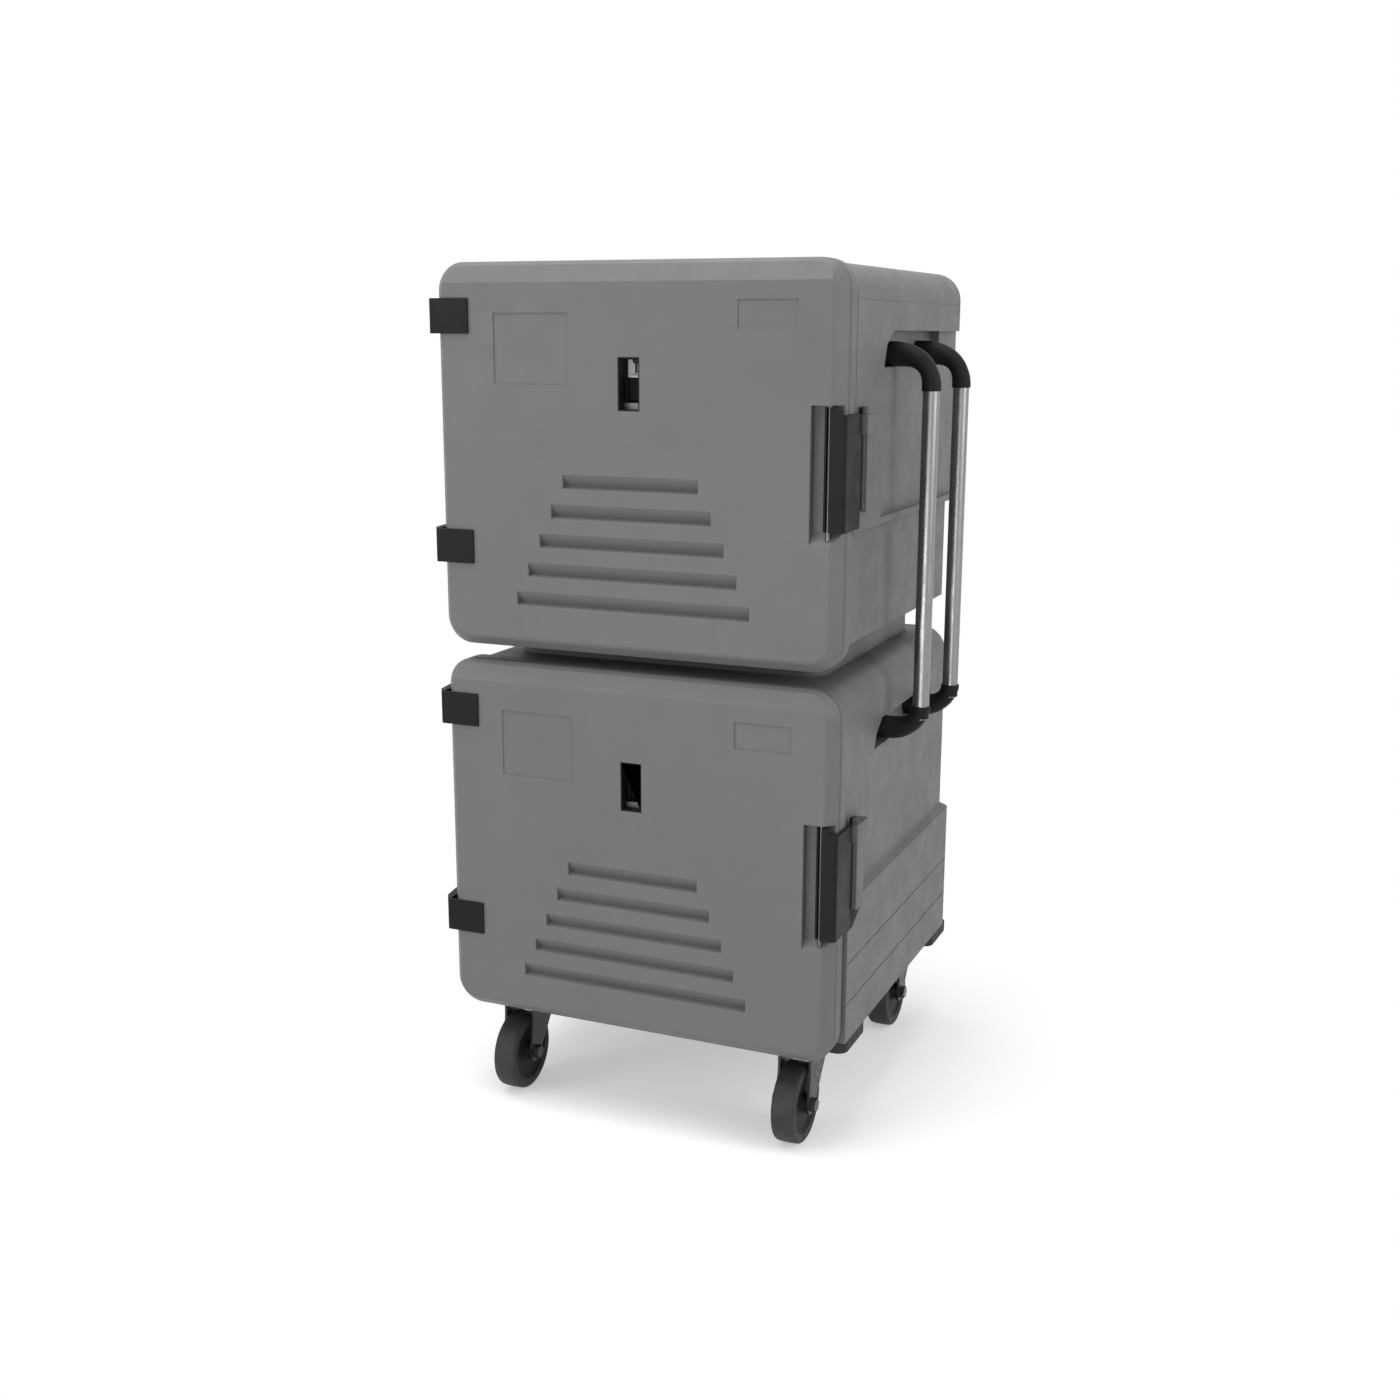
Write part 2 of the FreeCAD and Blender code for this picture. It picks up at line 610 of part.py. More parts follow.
def make_door_frame(name, level):
    body = new_body(name, box_frame(level))
    tongue = both_sides("door_half - groove_depth", "groove_depth", "door_height - groove_depth")
    pad(body, "XZ", "front_depth", "front_depth + groove_width", tongue)
    rounded(body, "door_corner - groove_depth", along("y"))
    bead_front = value("front_depth") + value("groove_width")
    pad(body, "XZ", "front_depth + groove_width", "door_back",
        both_sides("door_half", "0", "door_height"))
    outer = both(along("y"), lambda edge: edge.BoundBox.YMin > bead_front - 0.01)
    rounded(body, "door_corner", outer)
    rounded(body, "bead_round", either(
        level_with("y", value("door_back")),
        both(level_with("y", bead_front), lambda edge: edge_on_border(edge))))
    pad(body, "XZ", "door_back", "door_back + plug_depth", plug_outline("0"))
    plug_corners = both(along("y"), lambda edge: edge.BoundBox.YMin > value("door_back") - 0.01)
    rounded(body, "cavity_round", plug_corners)
    cut(body, "XZ", "front_depth", "door_back - back_skin", foam_outline())
    cut(body, "XZ", "door_back - back_skin", "door_back + plug_depth - skin",
        plug_outline("skin"))
    cut(body, "XZ", "door_back - gasket_seat", "door_back", gasket_outline())
    node(body, name)


def edge_on_border(edge):
    """Tells the edges on the door's outer border, not on the tongue inside it."""
    box = edge.BoundBox
    reach = max(abs(box.XMin), abs(box.XMax))
    limit = value("door_half") - value("door_corner")
    low = value("door_corner")
    high = value("door_height") - value("door_corner")
    centre = FreeCAD.Vector(limit, 0, 0)
    if near(reach, value("door_half")):
        return True
    if near(box.ZMin, 0) or near(box.ZMax, value("door_height")):
        return True
    middle = edge.valueAt((edge.FirstParameter + edge.LastParameter) / 2)
    out = FreeCAD.Vector(abs(middle.x) - centre.x, 0, max(low - middle.z, middle.z - high))
    return out.x > 0 and out.z > 0 and out.Length > value("door_corner") - 0.5


def gasket_outline():
    outer = both_sides("liner_half + gasket_margin + gasket_width",
                       "liner_foot - gasket_margin - gasket_width",
                       "liner_head + gasket_margin + gasket_width")
    inner = both_sides("liner_half + gasket_margin", "liner_foot - gasket_margin",
                       "liner_head + gasket_margin")
    return outer + inner


def make_gasket(name, level):
    body = new_body(name, box_frame(level))
    pad(body, "XZ", "door_back - gasket_seat", "body_front - touch_gap", gasket_outline())
    node(body, name)


def make_door_foam(name, level):
    body = new_body(name, box_frame(level))
    pad(body, "XZ", "skin", "door_back - back_skin", foam_outline())
    pad(body, "XZ", "door_back - back_skin", "door_back + plug_depth - skin",
        plug_outline("skin"))
    for outline in rib_blocks():
        cut(body, "XZ", "skin", "front_depth", [outline])
    cut(body, "XZ", "skin", "front_depth", vent_block("vent_wall + skin"))
    cut(body, "XZ", "front_depth", "vent_depth + vent_wall", vent_block("vent_wall"))
    cut(body, "XZ", "skin", "front_depth", latch_block())
    node(body, name)


# ---------------------------------------------------------------------------------------------
# Vent in the door

def make_vent_housing(name, level):
    body = new_body(name, box_frame(level))
    slot_front = "vent_depth - slider_thickness - 2 * slider_gap"
    pad(body, "XZ", "0", "vent_depth + vent_wall", vent_block("vent_wall"))
    cut(body, "XZ", "0", "vent_depth", vent_block("0"))
    cut(body, "XZ", "vent_depth", "vent_depth + vent_wall",
        circle("0", "vent_foot + vent_hole_height", "vent_hole"))
    for side in ("", "-"):
        near_edge = "%s(vent_width / 2)" % side
        far_edge = "%s(vent_width / 2 - guide_width)" % side
        pad(body, "XZ", "%s - guide_width" % slot_front, slot_front,
            rectangle(near_edge, far_edge, "vent_foot", "vent_foot + vent_height"))
    node(body, name)


def make_vent_slider(name, level):
    body = new_body(name, box_frame(level))
    back = "vent_depth - slider_gap"
    foot = "vent_foot + slider_foot"
    front = "%s - slider_thickness" % back
    pad(body, "XZ", front, back,
        both_sides("vent_width / 2 - slider_gap", foot, "%s + slider_height" % foot))
    pad(body, "XZ", "%s - guide_width - grip_depth" % front, front,
        both_sides("vent_width / 4", foot, "%s + grip_height" % foot))
    head = "%s + slider_height" % foot
    sunk = "%s + slit_depth" % front
    cut(body, "XZ", front, sunk, both_sides("slit_width / 2", "%s + slit_foot" % foot, head))
    cut(body, "XZ", front, sunk, circle("0", head, "notch_radius"))
    node(body, name)


def make_vent_clip(name, level):
    body = new_body(name, box_frame(level))
    front = "vent_depth / 2"
    clip_half = "vent_width / 2 - slider_gap"
    rear = "vent_depth - slider_thickness - 2 * slider_gap - guide_width"
    pad(body, "XZ", front, rear, both_sides(clip_half, "vent_foot", "vent_foot + clip_thickness"))
    pad(body, "XZ", front, "%s + clip_thickness" % front,
        both_sides(clip_half, "vent_foot", "vent_foot + clip_height"))
    node(body, name)


# ---------------------------------------------------------------------------------------------
# Latch on the door, and its keeper on the box

def make_latch_handle(name, level):
    body = new_body(name, box_frame(level))
    left = "latch_pin_x + latch_pin_radius"
    foot = "latch_foot + latch_end_gap"
    head = "latch_top - latch_end_gap"
    outer = "latch_side + latch_plate"
    inner_front = "latch_plate - latch_proud"
    plate = polygon((left, "-latch_proud"), (outer, "-latch_proud"), (outer, "latch_reach"),
                    ("latch_side", "latch_reach"), ("latch_side", inner_front),
                    (left, inner_front))
    pad(body, "XY", foot, head, plate)
    corner = both(along("z"), lambda edge: near(edge.BoundBox.YMin, -value("latch_proud"))
                  and edge.BoundBox.XMin > value("latch_side"))
    rounded(body, "latch_round", corner)
    pad(body, "XY", foot, head,
        rectangle("latch_pin_x", "%s + knuckle_root" % left, "-latch_proud", "latch_pin_y"))
    pad(body, "XY", foot, head,
        circle("latch_pin_x", "latch_pin_y", "latch_pin_radius + knuckle_wall"))
    cut(body, "XY", foot, head, rectangle("latch_pin_x - pin_slot / 2",
                                          "latch_pin_x + pin_slot / 2",
                                          "-latch_proud", "latch_pin_y"))
    cut(body, "XY", foot, head, circle("latch_pin_x", "latch_pin_y",
                                       "latch_pin_radius + running"))
    ear = "%s + latch_ear" % left
    shoulder = "%s - latch_shoulder" % head
    cut(body, "XZ", "-latch_proud", "latch_reach", polygon(
        (ear, shoulder), (outer + PAST, "%s - latch_slant" % shoulder),
        (outer + PAST, head + PAST), (ear, head + PAST)))
    node(body, name)


def make_latch_pin(name, level):
    body = new_body(name, box_frame(level))
    pad(body, "XY", "latch_foot - latch_pin_hold", "latch_top + latch_pin_hold",
        circle("latch_pin_x", "latch_pin_y", "latch_pin_radius"))
    node(body, name)


def keeper_wall(level):
    """Where the box's side wall stands behind the keeper."""
    return "rim_half" if level else "wall_half"


def make_keeper_block(name, level):
    body = new_body(name, box_frame(level))
    wall = keeper_wall(level)
    proud = "rim_half + keeper_proud"
    back = "keeper_front + keeper_depth"
    pad(body, "YZ", wall, proud, rectangle("keeper_front", back, "keeper_foot", "keeper_top"))
    pad(body, "YZ", wall, "%s + keeper_head_proud" % proud,
        rectangle("rod_y - rod_radius - keeper_head_wall", back, "keeper_top - keeper_head",
                  "keeper_top"))
    cut(body, "XY", "keeper_top - keeper_head", "keeper_top",
        circle("rod_x", "rod_y", "rod_radius"))
    outside = value("rim_half") + value("keeper_proud") - 1
    rounded(body, "keeper_round", both(along("z"), lambda edge: edge.BoundBox.XMin > outside))
    node(body, name)


def make_keeper_rod(name, level):
    body = new_body(name, box_frame(level))
    pad(body, "XY", "rod_foot", "keeper_top" + PAST, circle("rod_x", "rod_y", "rod_radius"))
    pad(body, "XY", "keeper_top", "keeper_top + knob_height",
        circle("rod_x", "rod_y", "knob_radius"))
    top = value("keeper_top") + value("knob_height")
    rounded(body, "knob_radius / 2", level_with("z", top))
    toe = circle("rod_x", "rod_foot + rod_radius", "toe_radius")
    pad(body, "XZ", "rod_y", "keeper_front", toe)
    node(body, name)


# ---------------------------------------------------------------------------------------------
# Hinges: a strap on the door turns on a leaf on the box

def make_strap(name, level, foot):
    body = new_body(name, box_frame(level))
    low = "%s + touch_gap" % foot
    head = "%s + strap_height" % foot
    side = "-(door_half + strap_gap)"
    plan = polygon(("-strap_inner", "-strap_thickness"),
                   ("%s - strap_bend" % side, "-strap_thickness"),
                   ("-left_reach + strap_nose", "strap_shoulder"),
                   ("-left_reach", "hinge_y - strap_shoulder"),
                   ("-left_reach", "hinge_y"), ("-hinge_x", "hinge_y"),
                   ("%s - strap_web" % side, "hinge_y - strap_neck"), (side, "0"),
                   ("-strap_inner", "0"))
    pad(body, "XY", low, head, plan)
    pad(body, "XY", low, head, circle("-hinge_x", "hinge_y", "barrel_radius"))
    cut(body, "XY", low, head, circle("-hinge_x", "hinge_y", "hinge_pin_radius + running"))
    return body


def make_leaf(name, level, head):
    body = new_body(name, box_frame(level))
    foot = "%s - leaf_height" % head
    inner = "-(hinge_x - leaf_thickness / 2)"
    outer = "-(hinge_x + leaf_thickness / 2)"
    pad(body, "XY", foot, head, rectangle(outer, inner, "hinge_y", "hinge_y + leaf_length"))
    pad(body, "XY", foot, head, circle("-hinge_x", "hinge_y", "barrel_radius"))
    cut(body, "XY", foot, head, circle("-hinge_x", "hinge_y", "hinge_pin_radius"))
    for up in SCREW_HEIGHTS:
        cut(body, "YZ", outer, inner, screw_spot(head, up, "screw_shank"))
    return body


def screw_spot(head, up, radius):
    return circle("hinge_y + screw_behind", "%s - %s" % (head, up), radius)


def make_hinge_pin(name, level, foot):
    body = new_body(name, box_frame(level))
    pad(body, "XY", "%s - leaf_height" % foot, "%s + strap_height - pin_short" % foot,
        circle("-hinge_x", "hinge_y", "hinge_pin_radius"))
    return body


def make_screw(name, level, head, up):
    """A screw through a leaf into its seat on the box."""
    body = new_body(name, box_frame(level))
    outer = "-(hinge_x + leaf_thickness / 2)"
    pad(body, "YZ", "%s - screw_head" % outer, outer, screw_spot(head, up, "screw_radius"))
    pad(body, "YZ", outer, "-(hinge_x - leaf_thickness / 2)",
        screw_spot(head, up, "screw_shank"))
    return body


def make_hinges(box, level):
    straps, leaves, pins, screws = [], [], [], []
    for spot in ("strap_low", "strap_high"):
        tag = "%s_%s" % (box, spot)
        straps.append(make_strap(tag + "_strap", level, spot))
        leaves.append(make_leaf(tag + "_leaf", level, spot))
        pins.append(make_hinge_pin(tag + "_pin", level, spot))
        for index, up in enumerate(SCREW_HEIGHTS):
            name = "%s_screw_%d" % (tag, index)
            screws.append(make_screw(name, level, spot, up))
    group(box + "_hinge_straps", straps)
    group(box + "_hinge_leaves", leaves)
    group(box + "_hinge_pins", pins)
    group(box + "_hinge_screws", screws)


def add_hinge_bosses(body, wall):
    """Seats for the hinge leaves on a box's left side."""
    for spot in ("strap_low", "strap_high"):
        pad(body, "YZ", "-(hinge_x - leaf_thickness / 2)", "-(%s)" % wall + PAST,
            rectangle("hinge_y + barrel_radius + seat_gap", "hinge_y + leaf_length",
                      "%s - leaf_height" % spot, spot))


# ---------------------------------------------------------------------------------------------
# Boxes

def handle_pocket(foot, head):
    """Outline of a handle pocket in a box's side, its upper front corner cut back."""
    return polygon(("pocket_front", foot),
                   ("pocket_front + pocket_slope_run", "(%s + %s) / 2" % (foot, head)),
                   ("pocket_front + pocket_slope", head), ("pocket_back", head),
                   ("pocket_back", foot))


def pocket_block(foot, head):
    return rectangle("pocket_front - skin", "pocket_back + skin", "%s - skin" % foot,
                     "%s + skin" % head)


def plinth_outline(inset):
    half = "door_half - plinth_side - (%s)" % inset
    return rectangle("-(%s)" % half, half, "plinth_front + %s" % inset,
                     "plinth_back - (%s)" % inset)


def start_box(name, level, half, back, foot):
    """The outer form of a box, rounded along its long edges and round its back."""
    body = new_body(name, box_frame(level))
    pad(body, "XZ", "body_front", back, both_sides(half, foot, "body_top"))
    body_top = value("body_top")
    rounded(body, "body_corner", both(along("y"), lambda edge: edge.BoundBox.ZMin > body_top - 1))
    rear = both(level_with("y", value(back)), lambda edge: edge.BoundBox.ZMax > value(foot) + 1)
    rounded(body, "body_back_round", rear)
    return body


def ring(half, back):
    """Everything outside a box's plan, from its front back."""
    return rectangle("-" + FAR, FAR, "door_back", FAR) + rectangle(
        "-(%s)" % half, half, "door_back + seam / 2", back)


def hollow(level):
    """Half width, floor, ceiling and back of the space inside a box's outer shell."""
    if level:
        return "base_half - skin", "upper_foot + skin", "body_top - skin", "base_back - skin"
    return ("wall_half - skin", "lower_foot + skin", "body_top - plinth_sink - skin",
            "box_depth - skin")


def place_of(formula):
    """The present number of a sum or difference of sizes and places."""
    words = formula.split()
    total = value(words[0])
    for sign, word in zip(words[1::2], words[2::2]):
        total += value(word) if sign == "+" else -value(word)
    return total


def pocket_heights(level):
    if level:
        return "upper_pocket_foot", "panel_head"
    return "lower_pocket_foot", "lower_pocket_head"


def make_hollow(name, level, front):
    """The space inside an outer shell, clear of the walls round the handle pocket."""
    body = new_body(name, box_frame(level))
    half, foot, head, back = hollow(level)
    pad(body, "XZ", front, back, both_sides(half, foot, head))
    top = place_of(head)
    rounded(body, "body_corner - skin", both(
        along("y"), lambda edge: near(edge.BoundBox.ZMax, top)))
    rounded(body, "body_back_round - skin", both(
        level_with("y", place_of(back)), lambda edge: edge.BoundBox.ZMax > top / 2))
    cut(body, "YZ", "pocket_floor - skin", FAR, pocket_block(*pocket_heights(level)))
    return body


def opened(body, level, name):
    """A shell, as its outer form less the space inside it."""
    cut(body, "YZ", "pocket_floor", FAR, handle_pocket(*pocket_heights(level)))
    shell = doc.addObject("Part::Cut", name)
    shell.Base = body
    shell.Tool = make_hollow(name + "_space", level, "body_front")
    node(shell, name)


def make_upper_shell(name):
    body = start_box(name + "_form", 1, "rim_half", "box_depth", "upper_foot")
    corner = "panel_head - panel_slope"
    panel = polygon(("panel_front", "panel_foot"), ("panel_front", corner),
                    ("panel_front + panel_slope_run", "%s + panel_slope_rise" % corner),
                    ("panel_front + panel_slope", "panel_head"), (FAR, "panel_head"),
                    (FAR, "panel_foot"))
    cut(body, "YZ", "panel_half", FAR, panel)
    cut(body, "YZ", "-" + FAR, "-panel_half", panel)
    cut(body, "XZ", "panel_back", FAR, rectangle("-" + FAR, FAR, "panel_foot", "panel_head"))
    cut(body, "XY", "0", "panel_foot - ledge_slope", ring("base_half", "base_back"))
    ledge = value("panel_foot") - value("ledge_slope")
    rear = value("base_back") - 1
    rounded(body, "body_back_round / 2", both(
        along("z"), lambda edge: edge.BoundBox.YMin > rear and edge.BoundBox.ZMax < ledge + 1))
    pad(body, "XY", "body_top - box_pitch - plinth_sink", "upper_foot", plinth_outline("0"))
    underside = value("upper_foot") + 1
    rounded(body, "plinth_round", both(along("z"), lambda edge: edge.BoundBox.ZMax < underside))
    cut(body, "XY", "body_top - box_pitch - plinth_sink", "upper_foot",
        plinth_outline("plinth_wall"))
    add_hinge_bosses(body, "base_half")
    opened(body, 1, name)


def cut_flare_notches(body):
    """The flare stops short of the latch with its keeper, and of the lower hinge's sweep."""
    keeper_back = "keeper_front + keeper_depth"
    latch_notch = polygon(
        ("door_back", "latch_foot - notch_gap"), ("keeper_front", "latch_foot - notch_gap"),
        ("%s + notch_gap" % keeper_back, "keeper_foot - notch_gap"),
        ("%s + notch_slant" % keeper_back, "flare_top" + PAST), ("door_back", "flare_top" + PAST))
    cut(body, "YZ", "wall_half", "flare_half" + PAST, latch_notch)
    hinge_notch = rectangle("door_back", "hinge_y + leaf_length + notch_gap",
                            "strap_low - leaf_height - notch_gap",
                            "strap_low + strap_height + notch_gap")
    cut(body, "YZ", "-(flare_half%s)" % PAST, "-wall_half", hinge_notch)


def make_lower_shell(name):
    body = new_body(name + "_form", box_frame(0))
    pad(body, "XY", "lower_foot", "flare_top",
        rectangle("-flare_half", "flare_half", "body_front", "flare_back"))
    rear = value("flare_back") - 1
    rounded(body, "body_back_round", both(along("z"), lambda edge: edge.BoundBox.YMin > rear))
    front = value("body_front") + 1
    bevelled(body, "flare", "flare_slope", both(
        level_with("z", value("flare_top")), lambda edge: edge.BoundBox.YMax > front))
    for line in ("line_low", "line_high"):
        cut(body, "XY", line, "%s + line_width" % line,
            ring("flare_half - line_depth", "flare_back - line_depth"))
    cut_flare_notches(body)
    pad(body, "XZ", "body_front", "box_depth", both_sides("wall_half", "lower_foot", "body_top"))
    body_top = value("body_top")
    top_edge = both(along("y"), lambda edge: edge.BoundBox.ZMin > body_top - 1)
    rounded(body, "body_corner", top_edge)
    back = value("box_depth")
    flare_top = value("flare_top")
    rounded(body, "body_back_round", both(
        level_with("y", back), lambda edge: edge.BoundBox.ZMax > flare_top + 1))
    cut(body, "XY", "body_top - plinth_sink", "body_top", plinth_outline("-plinth_play"))
    recess_depth = value("plinth_sink")
    rounded(body, "plinth_round", both(
        along("z"), lambda edge: near(edge.BoundBox.ZMax, body_top)
        and near(edge.BoundBox.ZLength, recess_depth)))
    add_hinge_bosses(body, "wall_half")
    opened(body, 0, name)


def make_liner(name, level):
    """The inner tub, whose flange closes the gap at the box's front."""
    body = new_body(name, box_frame(level))
    half, foot, head, _ = hollow(level)
    pad(body, "XZ", "body_front", "body_front + flange", both_sides(half, foot, head))
    top = place_of(head)
    rounded(body, "body_corner - skin", both(
        along("y"), lambda edge: near(edge.BoundBox.ZMax, top)))
    pad(body, "XZ", "body_front + flange", "liner_back",
        both_sides("liner_half", "liner_foot", "liner_head"))
    cut(body, "XZ", "body_front", "cavity_back",
        both_sides("cavity_half", "cavity_foot", "cavity_head"))
    inner = value("cavity_half")
    rounded(body, "cavity_round", both(
        along("y"), lambda edge: near(abs(edge.BoundBox.XMin), inner)))
    node(body, name)


def make_body_foam(name, level):
    body = make_hollow(name, level, "body_front + flange")
    cut(body, "XZ", "body_front + flange", "liner_back",
        both_sides("liner_half", "liner_foot", "liner_head"))
    node(body, name)


def make_rack(name, level, side):
    """A tray rack on one side: side is -1 or 1."""
    body = new_body(name, box_frame(level))

    def slab(inner, outer, outline):
        if side > 0:
            pad(body, "YZ", inner, outer, outline)
        else:
            pad(body, "YZ", "-(%s)" % outer, "-(%s)" % inner, outline)

    back = "cavity_back - rack_back_gap"
    face = "cavity_half - rack_thickness"
    slab(face, "cavity_half", rectangle("rack_front", back, "cavity_foot + rack_end_gap",
                                        "cavity_head - rack_end_gap"))
    highest = value("cavity_head") - value("rack_end_gap") - value("runner_thickness")
    lowest = value("cavity_foot") + value("runner_first")
    for index in range(int((highest - lowest) / value("runner_pitch")) + 1):
        foot = "cavity_foot + runner_first + %d * runner_pitch" % index
        slab("%s - runner_width" % face, face,
             rectangle("rack_front", back, foot, "%s + runner_thickness" % foot))
    node(body, name)


# ---------------------------------------------------------------------------------------------
# Push handles: two tubes that bridge the boxes, held by elbows in the boxes' pockets

def cylinder(name, radius, height, base, turn):
    """A cylinder whose start and length follow formulas; turn carries +Z onto its axis."""
    part = doc.addObject("Part::Cylinder", name)
    part.setExpression("Radius", bound(radius))
    part.setExpression("Height", bound(height))
    part.Placement = FreeCAD.Placement(FreeCAD.Vector(0, 0, 0), turn)
    for axis, formula in zip("xyz", base):
        part.setExpression("Placement.Base." + axis, bound(formula))
    return part


def make_elbow(name, level, along_cart, middle, drop, down):
    """One elbow: level, place along the cart, height, length of its leg, and which way it turns."""
    upright = FreeCAD.Rotation()
    sideways = FreeCAD.Rotation(FreeCAD.Vector(0, 1, 0), 90)
    x, y, z = box_frame(level)
    depth = "%s + %s" % (y, along_cart)
    height = "%s + %s" % (z, middle)
    sign = "-" if down else "+"
    arm = cylinder(name + "_arm", "elbow_radius", "handle_x - elbow_bend - pocket_floor",
                   ("%s + pocket_floor" % x, depth, height), sideways)
    bend = doc.addObject("Part::Torus", name + "_bend")
    bend.setExpression("Radius1", bound("elbow_bend"))
    bend.setExpression("Radius2", bound("elbow_radius"))
    bend.Angle3 = 90
    turn = FreeCAD.Rotation(FreeCAD.Vector(1, 0, 0), 90 if down else -90)
    bend.Placement = FreeCAD.Placement(FreeCAD.Vector(0, 0, 0), turn)
    centre = ("%s + handle_x - elbow_bend" % x, depth, "%s %s elbow_bend" % (height, sign))
    for axis, formula in zip("xyz", centre):
        bend.setExpression("Placement.Base." + axis, bound(formula))
    low = "%s - %s" % (height, drop) if down else "%s + elbow_bend" % height
    leg = cylinder(name + "_leg", "elbow_radius", "%s - elbow_bend" % drop,
                   ("%s + handle_x" % x, depth, low), upright)
    whole = doc.addObject("Part::MultiFuse", name + "_whole")
    whole.Shapes = [arm, bend, leg]
    start = "%s - %s" % (height, drop) if down else "%s + %s - handle_socket" % (height, drop)
    bore = cylinder(name + "_bore", "handle_tube_radius", "handle_socket",
                    ("%s + handle_x" % x, depth, start), upright)
    elbow = doc.addObject("Part::Cut", name)
    elbow.Base = whole
    elbow.Tool = bore
    doc.recompute()
    return elbow


def make_handle_tube(name, along_cart):
    body = new_body(name, box_frame(0))
    low = "handle_low + elbow_drop_low - handle_socket"
    high = "box_pitch + handle_high - elbow_drop_high + handle_socket"
    pad(body, "XY", low, high, circle("handle_x", along_cart, "handle_tube_radius")
        + circle("handle_x", along_cart, "handle_tube_radius - handle_tube_wall"))
    node(body, name)


def make_handles():
    upper, lower = [], []
    for tag in ("handle_front", "handle_back"):
        upper.append(make_elbow(tag + "_high", 1, tag, "handle_high", "elbow_drop_high", True))
        lower.append(make_elbow(tag + "_low", 0, tag, "handle_low", "elbow_drop_low", False))
        make_handle_tube(tag + "_tube", tag)
    group("handle_elbows_upper", upper)
    group("handle_elbows_lower", lower)


# ---------------------------------------------------------------------------------------------
# Skids and casters

def make_skids():
    skids = []
    inner = "flare_half - pad_width"
    for side, left, right in (("left", "-flare_half", "-(%s)" % inner),
                              ("right", inner, "flare_half")):
        for end, front, back in (("front", "body_front", "body_front + pad_length"),
                                 ("rear", "pad_back", "flare_back")):
            body = new_body("skid_%s_%s" % (end, side), box_frame(0))
            pad(body, "XY", "0", "lower_foot", rectangle(left, right, front, back))
            rounded(body, "pad_round", along("z"))
            for x, y in bolt_spots():
                across = "%scaster_x + %s" % ("-" if side == "left" else "", x)
                behind = "%s + %s" % ("caster_front" if end == "front" else "caster_rear", y)
                cut(body, "XY", "0", "bolt_hold", circle(across, behind, "bolt_radius"))
            skids.append(body)
    group("corner_skids", skids)


def bolt_spots():
    return [(x, y) for x in ("(-bolt_x / 2)", "(bolt_x / 2)")
            for y in ("(-bolt_y / 2)", "(bolt_y / 2)")]


def caster_frame(end, side):
    across = "box_x %s caster_x" % ("-" if side == "left" else "+")
    return across, "front_y + caster_" + end, "0"


def hexagon(across, up, radius):
    corners = [("%s + %s * cos(%d deg)" % (across, radius, 60 * i),
                "%s + %s * sin(%d deg)" % (up, radius, 60 * i)) for i in range(6)]
    return polygon(*corners)


def make_caster_plate(name, frame):
    body = new_body(name, frame)
    top = "door_lift"
    under = "door_lift - plate_thickness"
    half_x = "(bolt_x / 2 + plate_margin)"
    half_y = "(bolt_y / 2 + plate_margin)"
    pad(body, "XY", under, top, rectangle("-" + half_x, half_x, "-" + half_y, half_y))
    rounded(body, "plate_round", along("z"))
    for x, y in bolt_spots():
        cut(body, "XY", under, top, circle(x, y, "bolt_radius"))
    crown_foot = "fork_top - fork_crown - touch_gap"
    pad(body, "XY", crown_foot, under, circle("0", "0", "kingpin_radius"))
    pad(body, "XY", "%s - kingpin_head_height" % crown_foot, crown_foot,
        circle("0", "0", "kingpin_head"))
    return body


def make_caster_bolt(name, frame, x, y):
    body = new_body(name, frame)
    under = "door_lift - plate_thickness"
    pad(body, "XY", "%s - bolt_head_height" % under, under, hexagon(x, y, "bolt_head"))
    pad(body, "XY", under, "door_lift + bolt_hold", circle(x, y, "bolt_radius"))
    return body


def make_fork(name, frame):
    body = new_body(name, frame)
    inner = "hub_width / 2 + hub_gap"
    outer = "%s + fork_thickness" % inner
    front = "-fork_head / 2 - fork_foot / 2"
    pad(body, "XY", "fork_top - fork_crown", "fork_top",
        rectangle("-(%s)" % outer, outer, front, "fork_head / 2"))
    side = polygon((front, "fork_top"), ("fork_head / 2", "fork_top"),
                   ("fork_head / 2", "fork_top - 3 * fork_crown"),
                   ("-trail + fork_foot", "wheel_radius"), ("-trail - fork_foot", "wheel_radius"),
                   (front, "fork_top - 4 * fork_crown"))
    for start, end in ((inner, outer), ("-(%s)" % outer, "-(%s)" % inner)):
        pad(body, "YZ", start, end, side)
        pad(body, "YZ", start, end, circle("-trail", "wheel_radius", "fork_foot"))
    pad(body, "XY", "fork_top", "door_lift - plate_thickness - touch_gap",
        circle("0", "0", "race_radius"))
    cut(body, "XY", "fork_top - fork_crown", "door_lift - plate_thickness - touch_gap",
        circle("0", "0", "kingpin_radius + running"))
    cut(body, "YZ", "-(%s)" % outer, outer, circle("-trail", "wheel_radius", "axle_radius"))
    node(body, name)


def make_wheel(name, frame):
    body = new_body(name, frame)
    half = "wheel_width / 2"
    pad(body, "YZ", "-" + half, half, circle("-trail", "wheel_radius", "wheel_radius"))
    rounded(body, "wheel_round", lambda edge: edge.BoundBox.YLength > value("wheel_radius"))
    for start, end in ((half + " - wheel_dish", half), ("-" + half, "-%s + wheel_dish" % half)):
        cut(body, "YZ", start, end, circle("-trail", "wheel_radius", "wheel_radius - tread_band")
            + circle("-trail", "wheel_radius", "hub_radius"))
    pad(body, "YZ", "-hub_width / 2", "hub_width / 2",
        circle("-trail", "wheel_radius", "hub_radius"))
    cut(body, "YZ", "-hub_width / 2", "hub_width / 2",
        circle("-trail", "wheel_radius", "axle_radius + running"))
    node(body, name)


